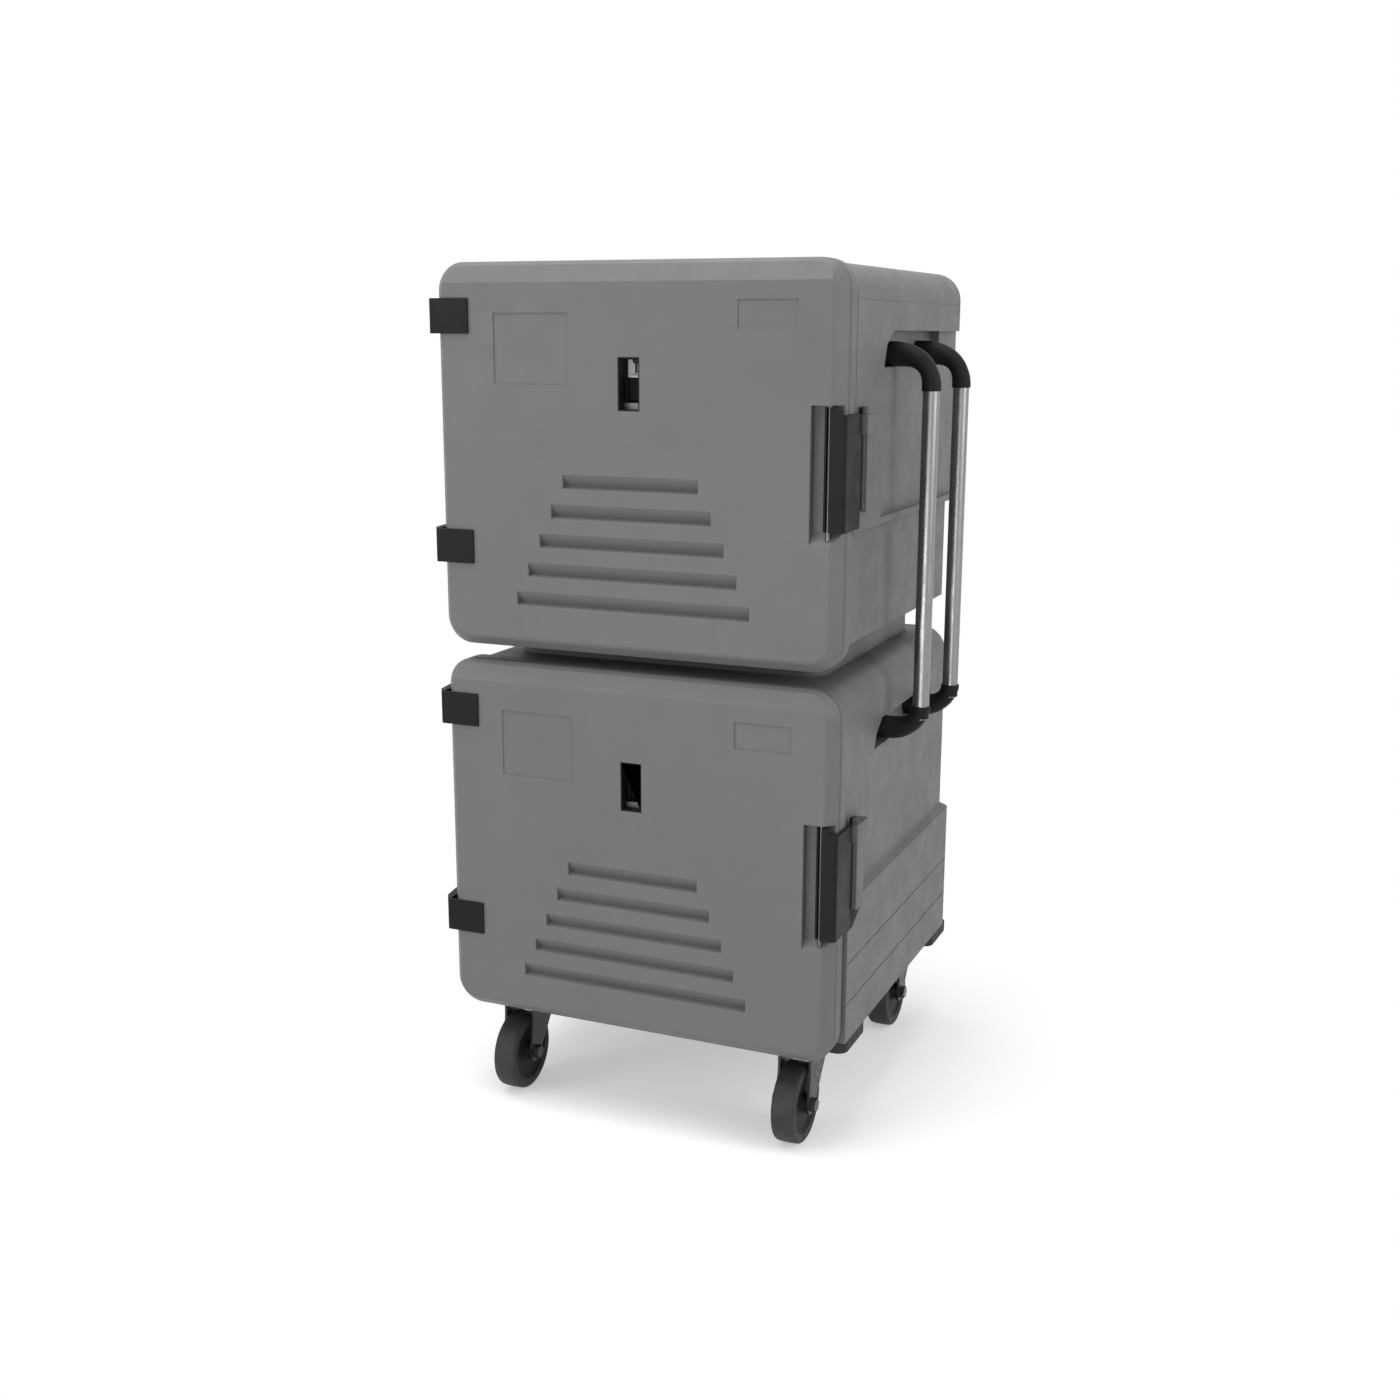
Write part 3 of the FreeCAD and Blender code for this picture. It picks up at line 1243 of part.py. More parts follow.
def make_axle(name, frame):
    body = new_body(name, frame)
    outer = "hub_width / 2 + hub_gap + fork_thickness"
    pad(body, "YZ", "-(%s)" % outer, outer, circle("-trail", "wheel_radius", "axle_radius"))
    for start, end in ((outer, "%s + nut_height" % outer),
                       ("-(%s + nut_height)" % outer, "-(%s)" % outer)):
        pad(body, "YZ", start, end, hexagon("-trail", "wheel_radius", "nut_radius"))
    node(body, name)


def make_casters():
    plates, bolts = [], []
    for end in ("front", "rear"):
        for side in ("left", "right"):
            frame = caster_frame(end, side)
            tag = "%s_%s" % (end, side)
            plates.append(make_caster_plate("plate_" + tag, frame))
            for index, (x, y) in enumerate(bolt_spots()):
                bolts.append(make_caster_bolt("bolt_%s_%d" % (tag, index), frame, x, y))
            make_fork("caster_fork_" + tag, frame)
            make_wheel("caster_wheel_" + tag, frame)
            make_axle("caster_axle_" + tag, frame)
    group("caster_plates", plates)
    group("caster_bolts", bolts)


# ---------------------------------------------------------------------------------------------
# Whole cart

def make_box(box, level):
    make_liner(box + "_body_liner", level)
    make_body_foam(box + "_body_foam", level)
    make_rack(box + "_tray_rack_left", level, -1)
    make_rack(box + "_tray_rack_right", level, 1)
    make_door_shell(box + "_door_shell", level)
    make_door_frame(box + "_door_frame", level)
    make_door_foam(box + "_door_foam", level)
    make_gasket(box + "_door_gasket", level)
    make_vent_housing(box + "_vent_housing", level)
    make_vent_slider(box + "_vent_slider", level)
    make_vent_clip(box + "_vent_clip", level)
    make_latch_handle(box + "_latch_handle", level)
    make_latch_pin(box + "_latch_pin", level)
    make_keeper_block(box + "_keeper_block", level)
    make_keeper_rod(box + "_keeper_rod", level)
    make_hinges(box, level)


def write_parts():
    os.makedirs("parts", exist_ok=True)
    for thing in doc.Objects:
        if "Invalid" in thing.State or "Error" in thing.State:
            raise RuntimeError("%s did not rebuild: %s" % (thing.Name, thing.State))
    for feature in CUTS:
        if feature.Shape.Volume > feature.BaseFeature.Shape.Volume - 0.1:
            raise RuntimeError("%s cuts nothing" % feature.Name)
    for name, thing in NODES:
        shape = thing.Shape
        if shape.isNull() or not shape.isValid() or not shape.Solids:
            raise RuntimeError("%s is not a valid solid" % name)
    for name, thing in NODES:
        shape = thing.Shape
        shape.exportStep(os.path.join("parts", name + ".step"))
        print("%-28s solids %2d  volume %8.1f cm3" % (name, len(shape.Solids), shape.Volume / 1000))


make_lower_shell("lower_body_shell")
make_upper_shell("upper_body_shell")
for box_level, box_name in enumerate(("lower", "upper")):
    make_box(box_name, box_level)
make_handles()
make_skids()
make_casters()
write_parts()
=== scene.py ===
"""Looks of the enclosed meal tray cart: finishes, elbows, wheels, forks, studio and camera.

All lengths are in metres, in the cart's own frame: +X right, +Y back, +Z up, origin on the floor.
Outlines written out as lists of points are in millimetres, and MM turns them into metres.
"""

import json
import math

import bmesh
import bpy
from mathutils import Matrix, Vector


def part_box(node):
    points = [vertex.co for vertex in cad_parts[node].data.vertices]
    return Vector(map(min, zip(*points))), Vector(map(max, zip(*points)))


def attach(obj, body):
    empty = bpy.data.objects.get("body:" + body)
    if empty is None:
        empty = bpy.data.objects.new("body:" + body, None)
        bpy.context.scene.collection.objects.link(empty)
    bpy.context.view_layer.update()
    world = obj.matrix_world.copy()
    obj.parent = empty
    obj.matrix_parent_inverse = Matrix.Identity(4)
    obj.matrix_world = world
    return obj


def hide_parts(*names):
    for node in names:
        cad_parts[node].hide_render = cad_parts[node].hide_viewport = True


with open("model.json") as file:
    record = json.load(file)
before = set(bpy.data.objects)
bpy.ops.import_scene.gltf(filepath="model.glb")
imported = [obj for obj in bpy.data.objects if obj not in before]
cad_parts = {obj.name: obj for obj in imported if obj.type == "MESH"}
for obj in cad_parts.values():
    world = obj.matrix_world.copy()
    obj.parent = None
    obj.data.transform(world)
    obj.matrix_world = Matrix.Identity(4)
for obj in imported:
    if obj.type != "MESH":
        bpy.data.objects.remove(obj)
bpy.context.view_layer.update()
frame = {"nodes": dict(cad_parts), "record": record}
NODES = frame["nodes"]
MM = 0.001

# ---------------------------------------------------------------------------------------------
# Node graphs

class Graph:
    """A material's node tree, with one short call for each node."""

    def __init__(self, name):
        self.material = bpy.data.materials.new(name)
        self.material.use_nodes = True
        self.tree = self.material.node_tree
        self.shader = self.tree.nodes["Principled BSDF"]
        self.output = self.tree.nodes["Material Output"]

    def add(self, kind, **settings):
        made = self.tree.nodes.new(kind)
        for name, value in settings.items():
            setattr(made, name, value)
        return made

    def feed(self, socket, value):
        if isinstance(value, bpy.types.NodeSocket):
            self.tree.links.new(value, socket)
        else:
            socket.default_value = value

    def place(self, scale=(1, 1, 1)):
        """The piece's own coordinates, in metres, stretched by scale."""
        coordinates = self.add("ShaderNodeTexCoord")
        mapping = self.add("ShaderNodeMapping")
        self.feed(mapping.inputs["Vector"], coordinates.outputs["Object"])
        mapping.inputs["Scale"].default_value = scale
        return mapping.outputs["Vector"]

    def noise(self, where, scale, detail=3.0, roughness=0.55):
        made = self.add("ShaderNodeTexNoise")
        self.feed(made.inputs["Vector"], where)
        made.inputs["Scale"].default_value = scale
        made.inputs["Detail"].default_value = detail
        made.inputs["Roughness"].default_value = roughness
        return made.outputs["Fac"]

    def cells(self, where, scale):
        made = self.add("ShaderNodeTexVoronoi")
        self.feed(made.inputs["Vector"], where)
        made.inputs["Scale"].default_value = scale
        return made.outputs["Distance"]

    def ramp(self, value, low, high, start=0.0, end=1.0):
        made = self.add("ShaderNodeMapRange", interpolation_type="SMOOTHSTEP")
        self.feed(made.inputs["Value"], value)
        made.inputs["From Min"].default_value = low
        made.inputs["From Max"].default_value = high
        made.inputs["To Min"].default_value = start
        made.inputs["To Max"].default_value = end
        return made.outputs["Result"]

    def math(self, operation, a, b):
        made = self.add("ShaderNodeMath", operation=operation)
        self.feed(made.inputs[0], a)
        self.feed(made.inputs[1], b)
        return made.outputs["Value"]

    def mix(self, share, a, b):
        made = self.add("ShaderNodeMix", data_type="RGBA")
        self.feed(made.inputs["Factor"], share)
        for socket, colour in ((made.inputs[6], a), (made.inputs[7], b)):
            self.feed(socket, colour if isinstance(colour, bpy.types.NodeSocket) else (*colour, 1))
        return made.outputs[2]

    def worn_edges(self, radius):
        """A normal rounded over the edges, and how much each spot is turned by that rounding."""
        rounded = self.add("ShaderNodeBevel", samples=6)
        rounded.inputs["Radius"].default_value = radius
        flat = self.add("ShaderNodeNewGeometry")
        agree = self.add("ShaderNodeVectorMath", operation="DOT_PRODUCT")
        self.feed(agree.inputs[0], rounded.outputs["Normal"])
        self.feed(agree.inputs[1], flat.outputs["Normal"])
        return rounded.outputs["Normal"], self.ramp(agree.outputs["Value"], 0.995, 0.9)

    def line(self, where, height, width):
        """1 on a level line at that height, and 0 a little above and below it."""
        split = self.add("ShaderNodeSeparateXYZ")
        self.feed(split.inputs[0], where)
        off = self.math("ABSOLUTE", self.math("SUBTRACT", split.outputs["Z"], height), 0.0)
        return self.ramp(off, width, width * 0.4)

    def bump(self, height, distance, strength=1.0, below=None):
        made = self.add("ShaderNodeBump")
        self.feed(made.inputs["Height"], height)
        made.inputs["Distance"].default_value = distance
        made.inputs["Strength"].default_value = strength
        if below is not None:
            self.feed(made.inputs["Normal"], below)
        return made.outputs["Normal"]

    def set(self, **values):
        for name, value in values.items():
            self.feed(self.shader.inputs[name.replace("_", " ")], value)


def scaled(colour, factor):
    return tuple(channel * factor for channel in colour)


def moulded(name, colour, grain=0.00006, gloss=0.42, rough=0.52, dirt=0.0, edge=0.0, seam_and_shade=None,
            crease=None, shade_from_depth=None):
    """Moulded plastic: fine grain, slow changes of shade, faint scuffs, rubbed edges, dust low down.

    edge is the radius that the edges are rounded to, the seam height that of a groove with painted
    shade along it where a rounded top meets a flat side, crease the height of a shadowed line, and
    the sunk depth how far back a front face is painted near-black as shade in its recesses.
    """
    graph = Graph(name)
    where = graph.place()
    slow = graph.ramp(graph.noise(where, 5.0, 4.0), 0.3, 0.7)
    shade = graph.mix(slow, scaled(colour, 0.965), scaled(colour, 1.03))
    speck = graph.ramp(graph.noise(where, 900.0, 2.0), 0.35, 0.65)
    shade = graph.mix(graph.math("MULTIPLY", speck, 0.3), shade, scaled(colour, 0.93))
    scuff = graph.noise(where, 26.0, 6.0, 0.7)
    scuff = graph.ramp(scuff, 0.62, 0.74)
    shade = graph.mix(graph.math("MULTIPLY", scuff, 0.025), shade, scaled(colour, 1.5))
    normal = None
    if edge:
        normal, turned = graph.worn_edges(edge)
        patchy = graph.ramp(graph.noise(where, 35.0, 4.0, 0.6), 0.35, 0.7)
        share = graph.math("MULTIPLY", graph.math("MULTIPLY", turned, patchy), 0.22)
        shade = graph.mix(share, shade, scaled(colour, 1.5))
    # Painted shade: a dark line along a groove where the rounded top meets the flat side; the bump
    # makes the groove.
    if seam_and_shade is not None:
        seam_and_shade_line = graph.line(where, seam_and_shade, 0.0009)
        shade = graph.mix(graph.math("MULTIPLY", seam_and_shade_line, 0.3), shade, scaled(colour, 0.5))
        normal = graph.bump(seam_and_shade_line, -0.0004, 1.0, below=normal)
    if crease is not None:
        shade = graph.mix(graph.line(where, crease, 0.0022), shade, scaled(colour, 0.3))
    # Painted shade: everything further back than this depth is painted near-black, as shade in the
    # slit and notch.
    if shade_from_depth is not None:
        behind = graph.add("ShaderNodeSeparateXYZ")
        graph.feed(behind.inputs[0], where)
        hollow_shade = graph.ramp(behind.outputs["Y"], shade_from_depth, shade_from_depth + 0.0003)
        shade = graph.mix(hollow_shade, shade, scaled(colour, 0.03))
    if dirt:
        height = graph.add("ShaderNodeSeparateXYZ")
        graph.feed(height.inputs[0], where)
        low = graph.ramp(height.outputs["Z"], 0.45, 0.15)
        patches = graph.ramp(graph.noise(where, 14.0, 5.0, 0.65), 0.4, 0.75)
        share = graph.math("MULTIPLY", graph.math("MULTIPLY", low, patches), dirt)
        shade = graph.mix(share, shade, scaled(colour, 0.8))
    roughness = graph.ramp(graph.noise(where, 22.0, 5.0), 0.3, 0.7, rough - 0.05, rough + 0.07)
    grain_height = graph.math("ADD", graph.noise(where, 1600.0, 2.0, 0.6),
                              graph.math("MULTIPLY", graph.noise(where, 420.0, 2.0), 0.8))
    normal = graph.bump(grain_height, grain, below=normal)
    normal = graph.bump(graph.noise(where, 12.0, 2.0), 0.0008, 0.3, below=normal)
    graph.set(Base_Color=shade, Roughness=roughness, Normal=normal)
    graph.shader.inputs["Specular IOR Level"].default_value = gloss
    return graph.material


def coated_steel(name, colour, rough=0.38):
    """Black coated steel: faint orange peel and brighter rubbed spots."""
    graph = Graph(name)
    where = graph.place()
    rubbed = graph.ramp(graph.noise(where, 60.0, 6.0, 0.7), 0.6, 0.75)
    shade = graph.mix(graph.math("MULTIPLY", rubbed, 0.18), colour, (0.14, 0.14, 0.145))
    roughness = graph.ramp(graph.noise(where, 90.0, 4.0), 0.3, 0.7, rough - 0.08, rough + 0.1)
    normal = graph.bump(graph.noise(where, 700.0, 2.0), 0.00005)
    graph.set(Base_Color=shade, Roughness=roughness, Normal=normal)
    graph.shader.inputs["Specular IOR Level"].default_value = 0.5
    return graph.material


def bare_metal(name, colour, rough, stretch, metallic=1.0):
    """Drawn or turned metal: streaks along the longest direction of stretch."""
    graph = Graph(name)
    streaks = graph.noise(graph.place(stretch), 900.0, 4.0, 0.6)
    where = graph.place()
    cloud = graph.noise(where, 30.0, 4.0)
    shade = graph.mix(graph.ramp(streaks, 0.3, 0.7), scaled(colour, 0.92), scaled(colour, 1.05))
    roughness = graph.ramp(cloud, 0.3, 0.7, rough - 0.05, rough + 0.07)
    normal = graph.bump(streaks, 0.000008)
    graph.set(Base_Color=shade, Roughness=roughness, Normal=normal)
    graph.shader.inputs["Metallic"].default_value = metallic
    return graph.material


def rubber(name, colour, rough=0.68):
    """Rubber: dull, with a dusty bloom and tiny pits."""
    graph = Graph(name)
    where = graph.place()
    bloom = graph.ramp(graph.noise(where, 40.0, 5.0, 0.6), 0.35, 0.8)
    shade = graph.mix(graph.math("MULTIPLY", bloom, 0.45), colour, scaled(colour, 2.0))
    roughness = graph.ramp(graph.noise(where, 70.0, 4.0), 0.3, 0.7, rough - 0.06, rough + 0.08)
    normal = graph.bump(graph.noise(where, 1100.0, 3.0, 0.6), 0.00009)
    graph.set(Base_Color=shade, Roughness=roughness, Normal=normal)
    graph.shader.inputs["Specular IOR Level"].default_value = 0.35
    return graph.material


def foam_fill(name, colour):
    """Rigid foam: open pores over a yellowed ground."""
    graph = Graph(name)
    where = graph.place()
    pores = graph.cells(where, 500.0)
    shade = graph.mix(graph.ramp(pores, 0.0, 0.6), scaled(colour, 0.8), colour)
    graph.set(Base_Color=shade, Roughness=0.9, Normal=graph.bump(pores, 0.0006))
    return graph.material


SHELL = (0.124, 0.125, 0.1235)
# Height of the groove with painted shade along it, 50 mm below the top of the upper body shell.
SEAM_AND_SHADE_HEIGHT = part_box("upper_body_shell")[1][2] - 0.05
LEDGE_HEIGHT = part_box("upper_door_shell")[0][2] + 0.1915
UPPER_SHELL = moulded("upper_shell_grey", SHELL, edge=0.0025, seam_and_shade=SEAM_AND_SHADE_HEIGHT,
                      crease=LEDGE_HEIGHT)
# Depth behind which the vent slider is painted near-black, as shade in its slit and notch.
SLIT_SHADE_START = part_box("upper_door_shell")[0][1] + 0.0278
MATERIALS = {
    "shell_grey": moulded("shell_grey", SHELL, dirt=0.25, edge=0.002),
    "frame_grey": moulded("frame_grey", scaled(SHELL, 0.97), edge=0.002),
    "liner_grey": moulded("liner_grey", (0.30, 0.30, 0.295), grain=0.00003, rough=0.45),
    "keeper_grey": moulded("keeper_grey", scaled(SHELL, 0.85)),
    "foam": foam_fill("foam", (0.75, 0.68, 0.45)),
    "seal_rubber": rubber("seal_rubber", (0.10, 0.10, 0.10)),
    "black_plastic": moulded("black_plastic", (0.010, 0.010, 0.010), gloss=0.13, rough=0.5),
    "black_steel": coated_steel("black_steel", (0.012, 0.012, 0.012)),
    "slider_white": moulded("slider_white", (0.62, 0.62, 0.61), grain=0.00002, rough=0.4,
                            shade_from_depth=SLIT_SHADE_START),
    "tube_aluminium": bare_metal("tube_aluminium", (0.27, 0.27, 0.27), 0.29, (1, 1, 0.02)),
    "wheel_rubber": rubber("wheel_rubber", (0.022, 0.022, 0.0215), 0.6),
    "skid_rubber": rubber("skid_rubber", (0.014, 0.014, 0.014)),
    "bright_steel": bare_metal("bright_steel", (0.13, 0.13, 0.13), 0.35, (1, 1, 0.05)),
    "dark_fasteners": coated_steel("dark_fasteners", (0.018, 0.018, 0.018), 0.32),
}
SLOT_OF = {entry["node"]: entry["material_slot"] for entry in frame["record"]["subparts"]}


# ---------------------------------------------------------------------------------------------
# Carried-over nodes: each keeps its mesh and gets a finish, and some get broken edges

def paint(thing, material):
    thing.data.materials.clear()
    thing.data.materials.append(material)


def soften(thing, width, segments=3, angle=28.0):
    """Breaks a piece's sharp edges: like faces are joined first, so that the edges run clean."""
    weld = thing.modifiers.new("weld", "WELD")
    weld.merge_threshold = 0.00001
    join = thing.modifiers.new("join", "DECIMATE")
    join.decimate_type = "DISSOLVE"
    join.angle_limit = math.radians(0.4)
    bevel = thing.modifiers.new("edges", "BEVEL")
    bevel.width = width
    bevel.segments = segments
    bevel.limit_method = "ANGLE"
    bevel.angle_limit = math.radians(angle)
    bevel.miter_outer = "MITER_ARC"
    shade = thing.modifiers.new("shade", "WEIGHTED_NORMAL")
    shade.keep_sharp = False
    for polygon in thing.data.polygons:
        polygon.use_smooth = True


EDGE = {"keeper_grey": 0.001, "black_plastic": 0.0009, "black_steel": 0.0007,
        "skid_rubber": 0.0012}


def dress_nodes():
    for name, thing in NODES.items():
        slot = SLOT_OF[name]
        paint(thing, MATERIALS[slot])
        if slot in EDGE:
            soften(thing, EDGE[slot])


dress_nodes()
paint(NODES["upper_body_shell"], UPPER_SHELL)


# ---------------------------------------------------------------------------------------------
# New pieces, each made as a closed mesh and standing for the node that it replaces

def new_piece(name, points, faces, slot, body, nodes=(), sharp=40.0):
    """Makes a piece of a closed mesh, with its finish and its body, and hides the nodes it stands for.
    """
    mesh = bpy.data.meshes.new(name)
    mesh.from_pydata([tuple(point) for point in points], [], faces)
    shell = bmesh.new()
    shell.from_mesh(mesh)
    bmesh.ops.recalc_face_normals(shell, faces=shell.faces)
    shell.to_mesh(mesh)
    shell.free()
    for polygon in mesh.polygons:
        polygon.use_smooth = True
    mesh.set_sharp_from_angle(angle=math.radians(sharp))
    piece = bpy.data.objects.new(name, mesh)
    bpy.context.scene.collection.objects.link(piece)
    paint(piece, MATERIALS[slot])
    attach(piece, body)
    if nodes:
        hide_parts(*nodes)
    return piece


def joined(meshes):
    """Points and faces of several meshes as one."""
    points, faces = [], []
    for more_points, more_faces in meshes:
        start = len(points)
        points += more_points
        faces += [tuple(index + start for index in face) for face in more_faces]
    return points, faces


def skin_rings(rings, capped):
    """Faces between rings of points; capped closes both ends, otherwise the last joins the first."""
    count = len(rings[0])
    points = [point for ring in rings for point in ring]
    faces = []
    for index in range(len(rings) - (1 if capped else 0)):
        here = index * count
        there = (index + 1) % len(rings) * count
        for step in range(count):
            after = (step + 1) % count
            faces.append((here + step, here + after, there + after, there + step))
    if capped:
        faces.append(tuple(range(count))[::-1])
        faces.append(tuple(range(len(points) - count, len(points))))
    return points, faces


def smooth_line(corners, count):
    """Evenly spaced points of a smooth line through the corners."""
    ends = [corners[0]] + list(corners) + [corners[-1]]
    found = []
    for index in range(count):
        at = index / (count - 1) * (len(corners) - 1)
        first = min(int(at), len(corners) - 2)
        t = at - first
        a, b, c, d = ends[first:first + 4]
        found.append(tuple(
            0.5 * (2 * q + (r - p) * t + (2 * p - 5 * q + 4 * r - s) * t * t
                   + (3 * q - p - 3 * r + s) * t ** 3)
            for p, q, r, s in zip(a, b, c, d)))
    return found


def centre_of(node):
    low_corner, high_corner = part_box(node)
    return [(a + b) / 2 for a, b in zip(low_corner, high_corner)]


# Elbows, in millimetres: outer and inner side as (out from the pocket's floor, towards the tube).
UPPER_OUTER = [(0, -19), (26, -18), (48, -12.5), (66, -2), (79, 13), (87, 31), (89.5, 44), (89.5, 53)]
UPPER_INNER = [(0, 18), (30, 18), (44, 19), (53, 23.5), (58.5, 31), (60.3, 39), (60.5, 46), (60.5, 53)]
LOWER_OUTER = [(0, -18), (26, -17.5), (46, -14.5), (62, -7), (76, 5), (85, 19), (89.5, 31), (89.5, 38)]
LOWER_INNER = [(0, 18), (30, 18), (42, 18.5), (50, 20.5), (56, 24.5), (59.7, 30), (60.5, 34.5),
               (60.5, 38)]
ELBOW_ROOT = 16.5
ELBOW_END = 14.5
TUBE_FIT = 12.7
SOCKET = 19
ELBOW_STEPS = 40
ELBOW_SIDES = 40


def elbow(outer, inner, start, towards):
    """One elbow from start, the middle of its root; towards is +1 for a tube above it."""
    def ring(out, near, half_width, share=1.0):
        middle = [(a + b) / 2 for a, b in zip(out, near)]
        reach = [(a - b) / 2 * share for a, b in zip(out, near)]
        points = []
        for index in range(ELBOW_SIDES):
            angle = 2 * math.pi * index / ELBOW_SIDES
            across = middle[0] + reach[0] * math.cos(angle)
            along = middle[1] + reach[1] * math.cos(angle)
            points.append((start[0] + across * MM,
                           start[1] + half_width * share * math.sin(angle) * MM,
                           start[2] + towards * along * MM))
        return points

    outer_line = smooth_line(outer, ELBOW_STEPS)
    inner_line = smooth_line(inner, ELBOW_STEPS)
    rings = []
    for index, (out, near) in enumerate(zip(outer_line, inner_line)):
        share = index / (ELBOW_STEPS - 1)
        half_width = ELBOW_ROOT + (ELBOW_END - ELBOW_ROOT) * min(1.0, share * 1.4)
        rings.append(ring(out, near, half_width))
    end_out, end_near = outer[-1], inner[-1]
    bore = TUBE_FIT / ELBOW_END
    lip_out, lip_near = (end_out[0], end_out[1] - 0.8), (end_near[0], end_near[1] - 0.8)
    rings[-1] = ring(lip_out, lip_near, ELBOW_END)
    rings.append(ring(end_out, end_near, ELBOW_END, 0.96))
    rings.append(ring(end_out, end_near, ELBOW_END, bore + 0.02))
    for depth in (0.6, SOCKET):
        rings.append(ring((end_out[0], end_out[1] - depth), (end_near[0], end_near[1] - depth),
                          ELBOW_END, bore))
    return skin_rings(rings, capped=True)


def make_elbows():
    root_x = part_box("handle_elbows_upper")[0][0]
    for level, outer, inner, towards, end in (
            ("upper", UPPER_OUTER, UPPER_INNER, -1, 0), ("lower", LOWER_OUTER, LOWER_INNER, 1, 1)):
        node = "handle_elbows_" + level
        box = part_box(node)
        tip = box[end][2]
        drop = outer[-1][1] * MM
        meshes = [elbow(outer, inner, (root_x, centre_of(tube)[1], tip - towards * drop), towards)
                  for tube in ("handle_front_tube", "handle_back_tube")]
        points, faces = joined(meshes)
        new_piece(level + "_elbows", points, faces, "black_plastic", "cart", (node,))


# Wheel and swivel profiles, in millimetres.
RIM_PROFILE = [(22.5, 6.1), (22.5, 12.5), (21.8, 13.6), (17.5, 14.6), (16.2, 16.0), (14.6, 19.5),
               (14.1, 24.0), (14.1, 40.0), (14.8, 43.5), (16.6, 45.6), (17.2, 47.0), (12.0, 47.4)]
TYRE_PROFILE = [(12.0, 47.0), (17.4, 47.2), (18.3, 48.2), (18.3, 49.4), (17.9, 50.2), (18.2, 51.2),
                (18.9, 52.4), (19.0, 56.4), (18.6, 58.6), (17.4, 60.5), (15.6, 61.7), (12.0, 62.2),
                (6.0, 62.45)]
RACE_PROFILE = [(6.1, 0.0), (29.0, 0.0), (30.6, 0.7), (31.0, 2.2), (31.0, 6.4), (30.2, 7.4),
                (28.2, 7.6), (28.0, 8.6), (28.2, 9.6), (29.4, 9.9), (30.2, 10.8), (30.2, 13.8),
                (28.6, 15.2), (24.0, 15.4), (6.1, 15.4)]
LATHE_SIDES = 96


def lathe(profile, centre, across):
    """Turns a closed profile of (along the axis, radius); across is the axis' letter."""
    rings = []
    for along, radius in profile:
        ring = []
        for index in range(LATHE_SIDES):
            angle = 2 * math.pi * index / LATHE_SIDES
            u, v = radius * math.cos(angle), radius * math.sin(angle)
            offset = (along, u, v) if across == "x" else (u, v, along)
            ring.append(tuple(c + o * MM for c, o in zip(centre, offset)))
        rings.append(ring)
    return skin_rings(rings, capped=False)


def both_faces(profile):
    """A profile given for one side of a wheel, closed over its other side."""
    return profile + [(-along, radius) for along, radius in reversed(profile)]


def make_wheel(tag):
    node = "caster_wheel_" + tag
    centre = centre_of(node)
    rim = lathe(both_faces(RIM_PROFILE), centre, "x")
    tyre = lathe(both_faces(TYRE_PROFILE), centre, "x")
    new_piece("rim_" + tag, *rim, "black_plastic", "wheel_" + tag, (node,), sharp=32.0)
    new_piece("tyre_" + tag, *tyre, "wheel_rubber", "wheel_" + tag, (node,), sharp=32.0)


# Fork, in millimetres: side outline as (back from the swivel, up from the floor, corner radius).
FORK_SIDE = [(-40, 142, 3), (32, 142, 3), (32, 124, 14), (-18.5, 60, 30), (-20, 47.6, 12),
             (-48.9, 47.6, 14), (-48.9, 70, 30), (-41, 116, 40)]
FORK_OUT = 27.1
FORK_WALL = 4.0
FORK_CROWN = 6.0
FORK_BEND = 7.0


def rounded_outline(corners, steps=8):
    """A closed outline with each (x, y, radius) corner turned into an arc."""
    points = []
    for index, (x, y, radius) in enumerate(corners):
        here = Vector((x, y))
        before = Vector(corners[index - 1][:2]) - here
        after = Vector(corners[(index + 1) % len(corners)][:2]) - here
        half = before.angle(after) / 2
        reach = min(radius / math.tan(half), before.length * 0.48, after.length * 0.48)
        start = here + before.normalized() * reach
        end = here + after.normalized() * reach
        for step in range(steps + 1):
            t = step / steps
            points.append(tuple(start * (1 - t) ** 2 + here * 2 * t * (1 - t) + end * t * t))
    return points


def prism(outline, low_end, high_end, place):
    """A prism over an outline; place turns (u, v, along) into a point."""
    rings = [[place(u, v, along) for u, v in outline] for along in (low_end, high_end)]
    return skin_rings(rings, capped=True)


def channel_outline():
    """Section of a fork: an upside-down U, bent round at its two upper corners."""
    inside = FORK_OUT - FORK_WALL
    top = FORK_SIDE[0][1]
    return rounded_outline([
        (-FORK_OUT, 30, 0.4), (-FORK_OUT, top, FORK_BEND), (FORK_OUT, top, FORK_BEND),
        (FORK_OUT, 30, 0.4), (inside, 30, 0.4), (inside, top - FORK_CROWN, 3),
        (-inside, top - FORK_CROWN, 3), (-inside, 30, 0.4)])


def make_fork(tag):
    node = "caster_fork_" + tag
    low_corner, high_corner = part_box(node)
    swivel_x = (low_corner[0] + high_corner[0]) / 2
    swivel_y = centre_of("caster_wheel_" + tag)[1] + TRAIL * MM

    def from_front(u, v, along):
        return (swivel_x + u * MM, swivel_y + along * MM, v * MM)

    def from_side(u, v, along):
        return (swivel_x + along * MM, swivel_y + u * MM, v * MM)

    body = "caster_" + tag
    points, faces = prism(channel_outline(), -60, 60, from_front)
    fork = new_piece("fork_" + tag, points, faces, "black_steel", body, (node,), sharp=30.0)
    points, faces = prism(rounded_outline(FORK_SIDE), -40, 40, from_side)
    mould = new_piece("fork_outline_" + tag, points, faces, "black_steel", body)
    cut_to(fork, mould)
    races = lathe(RACE_PROFILE, (swivel_x, swivel_y, FORK_SIDE[0][1] * MM), "z")
    new_piece("swivel_ring_" + tag, *races, "black_steel", body, (node,), sharp=32.0)


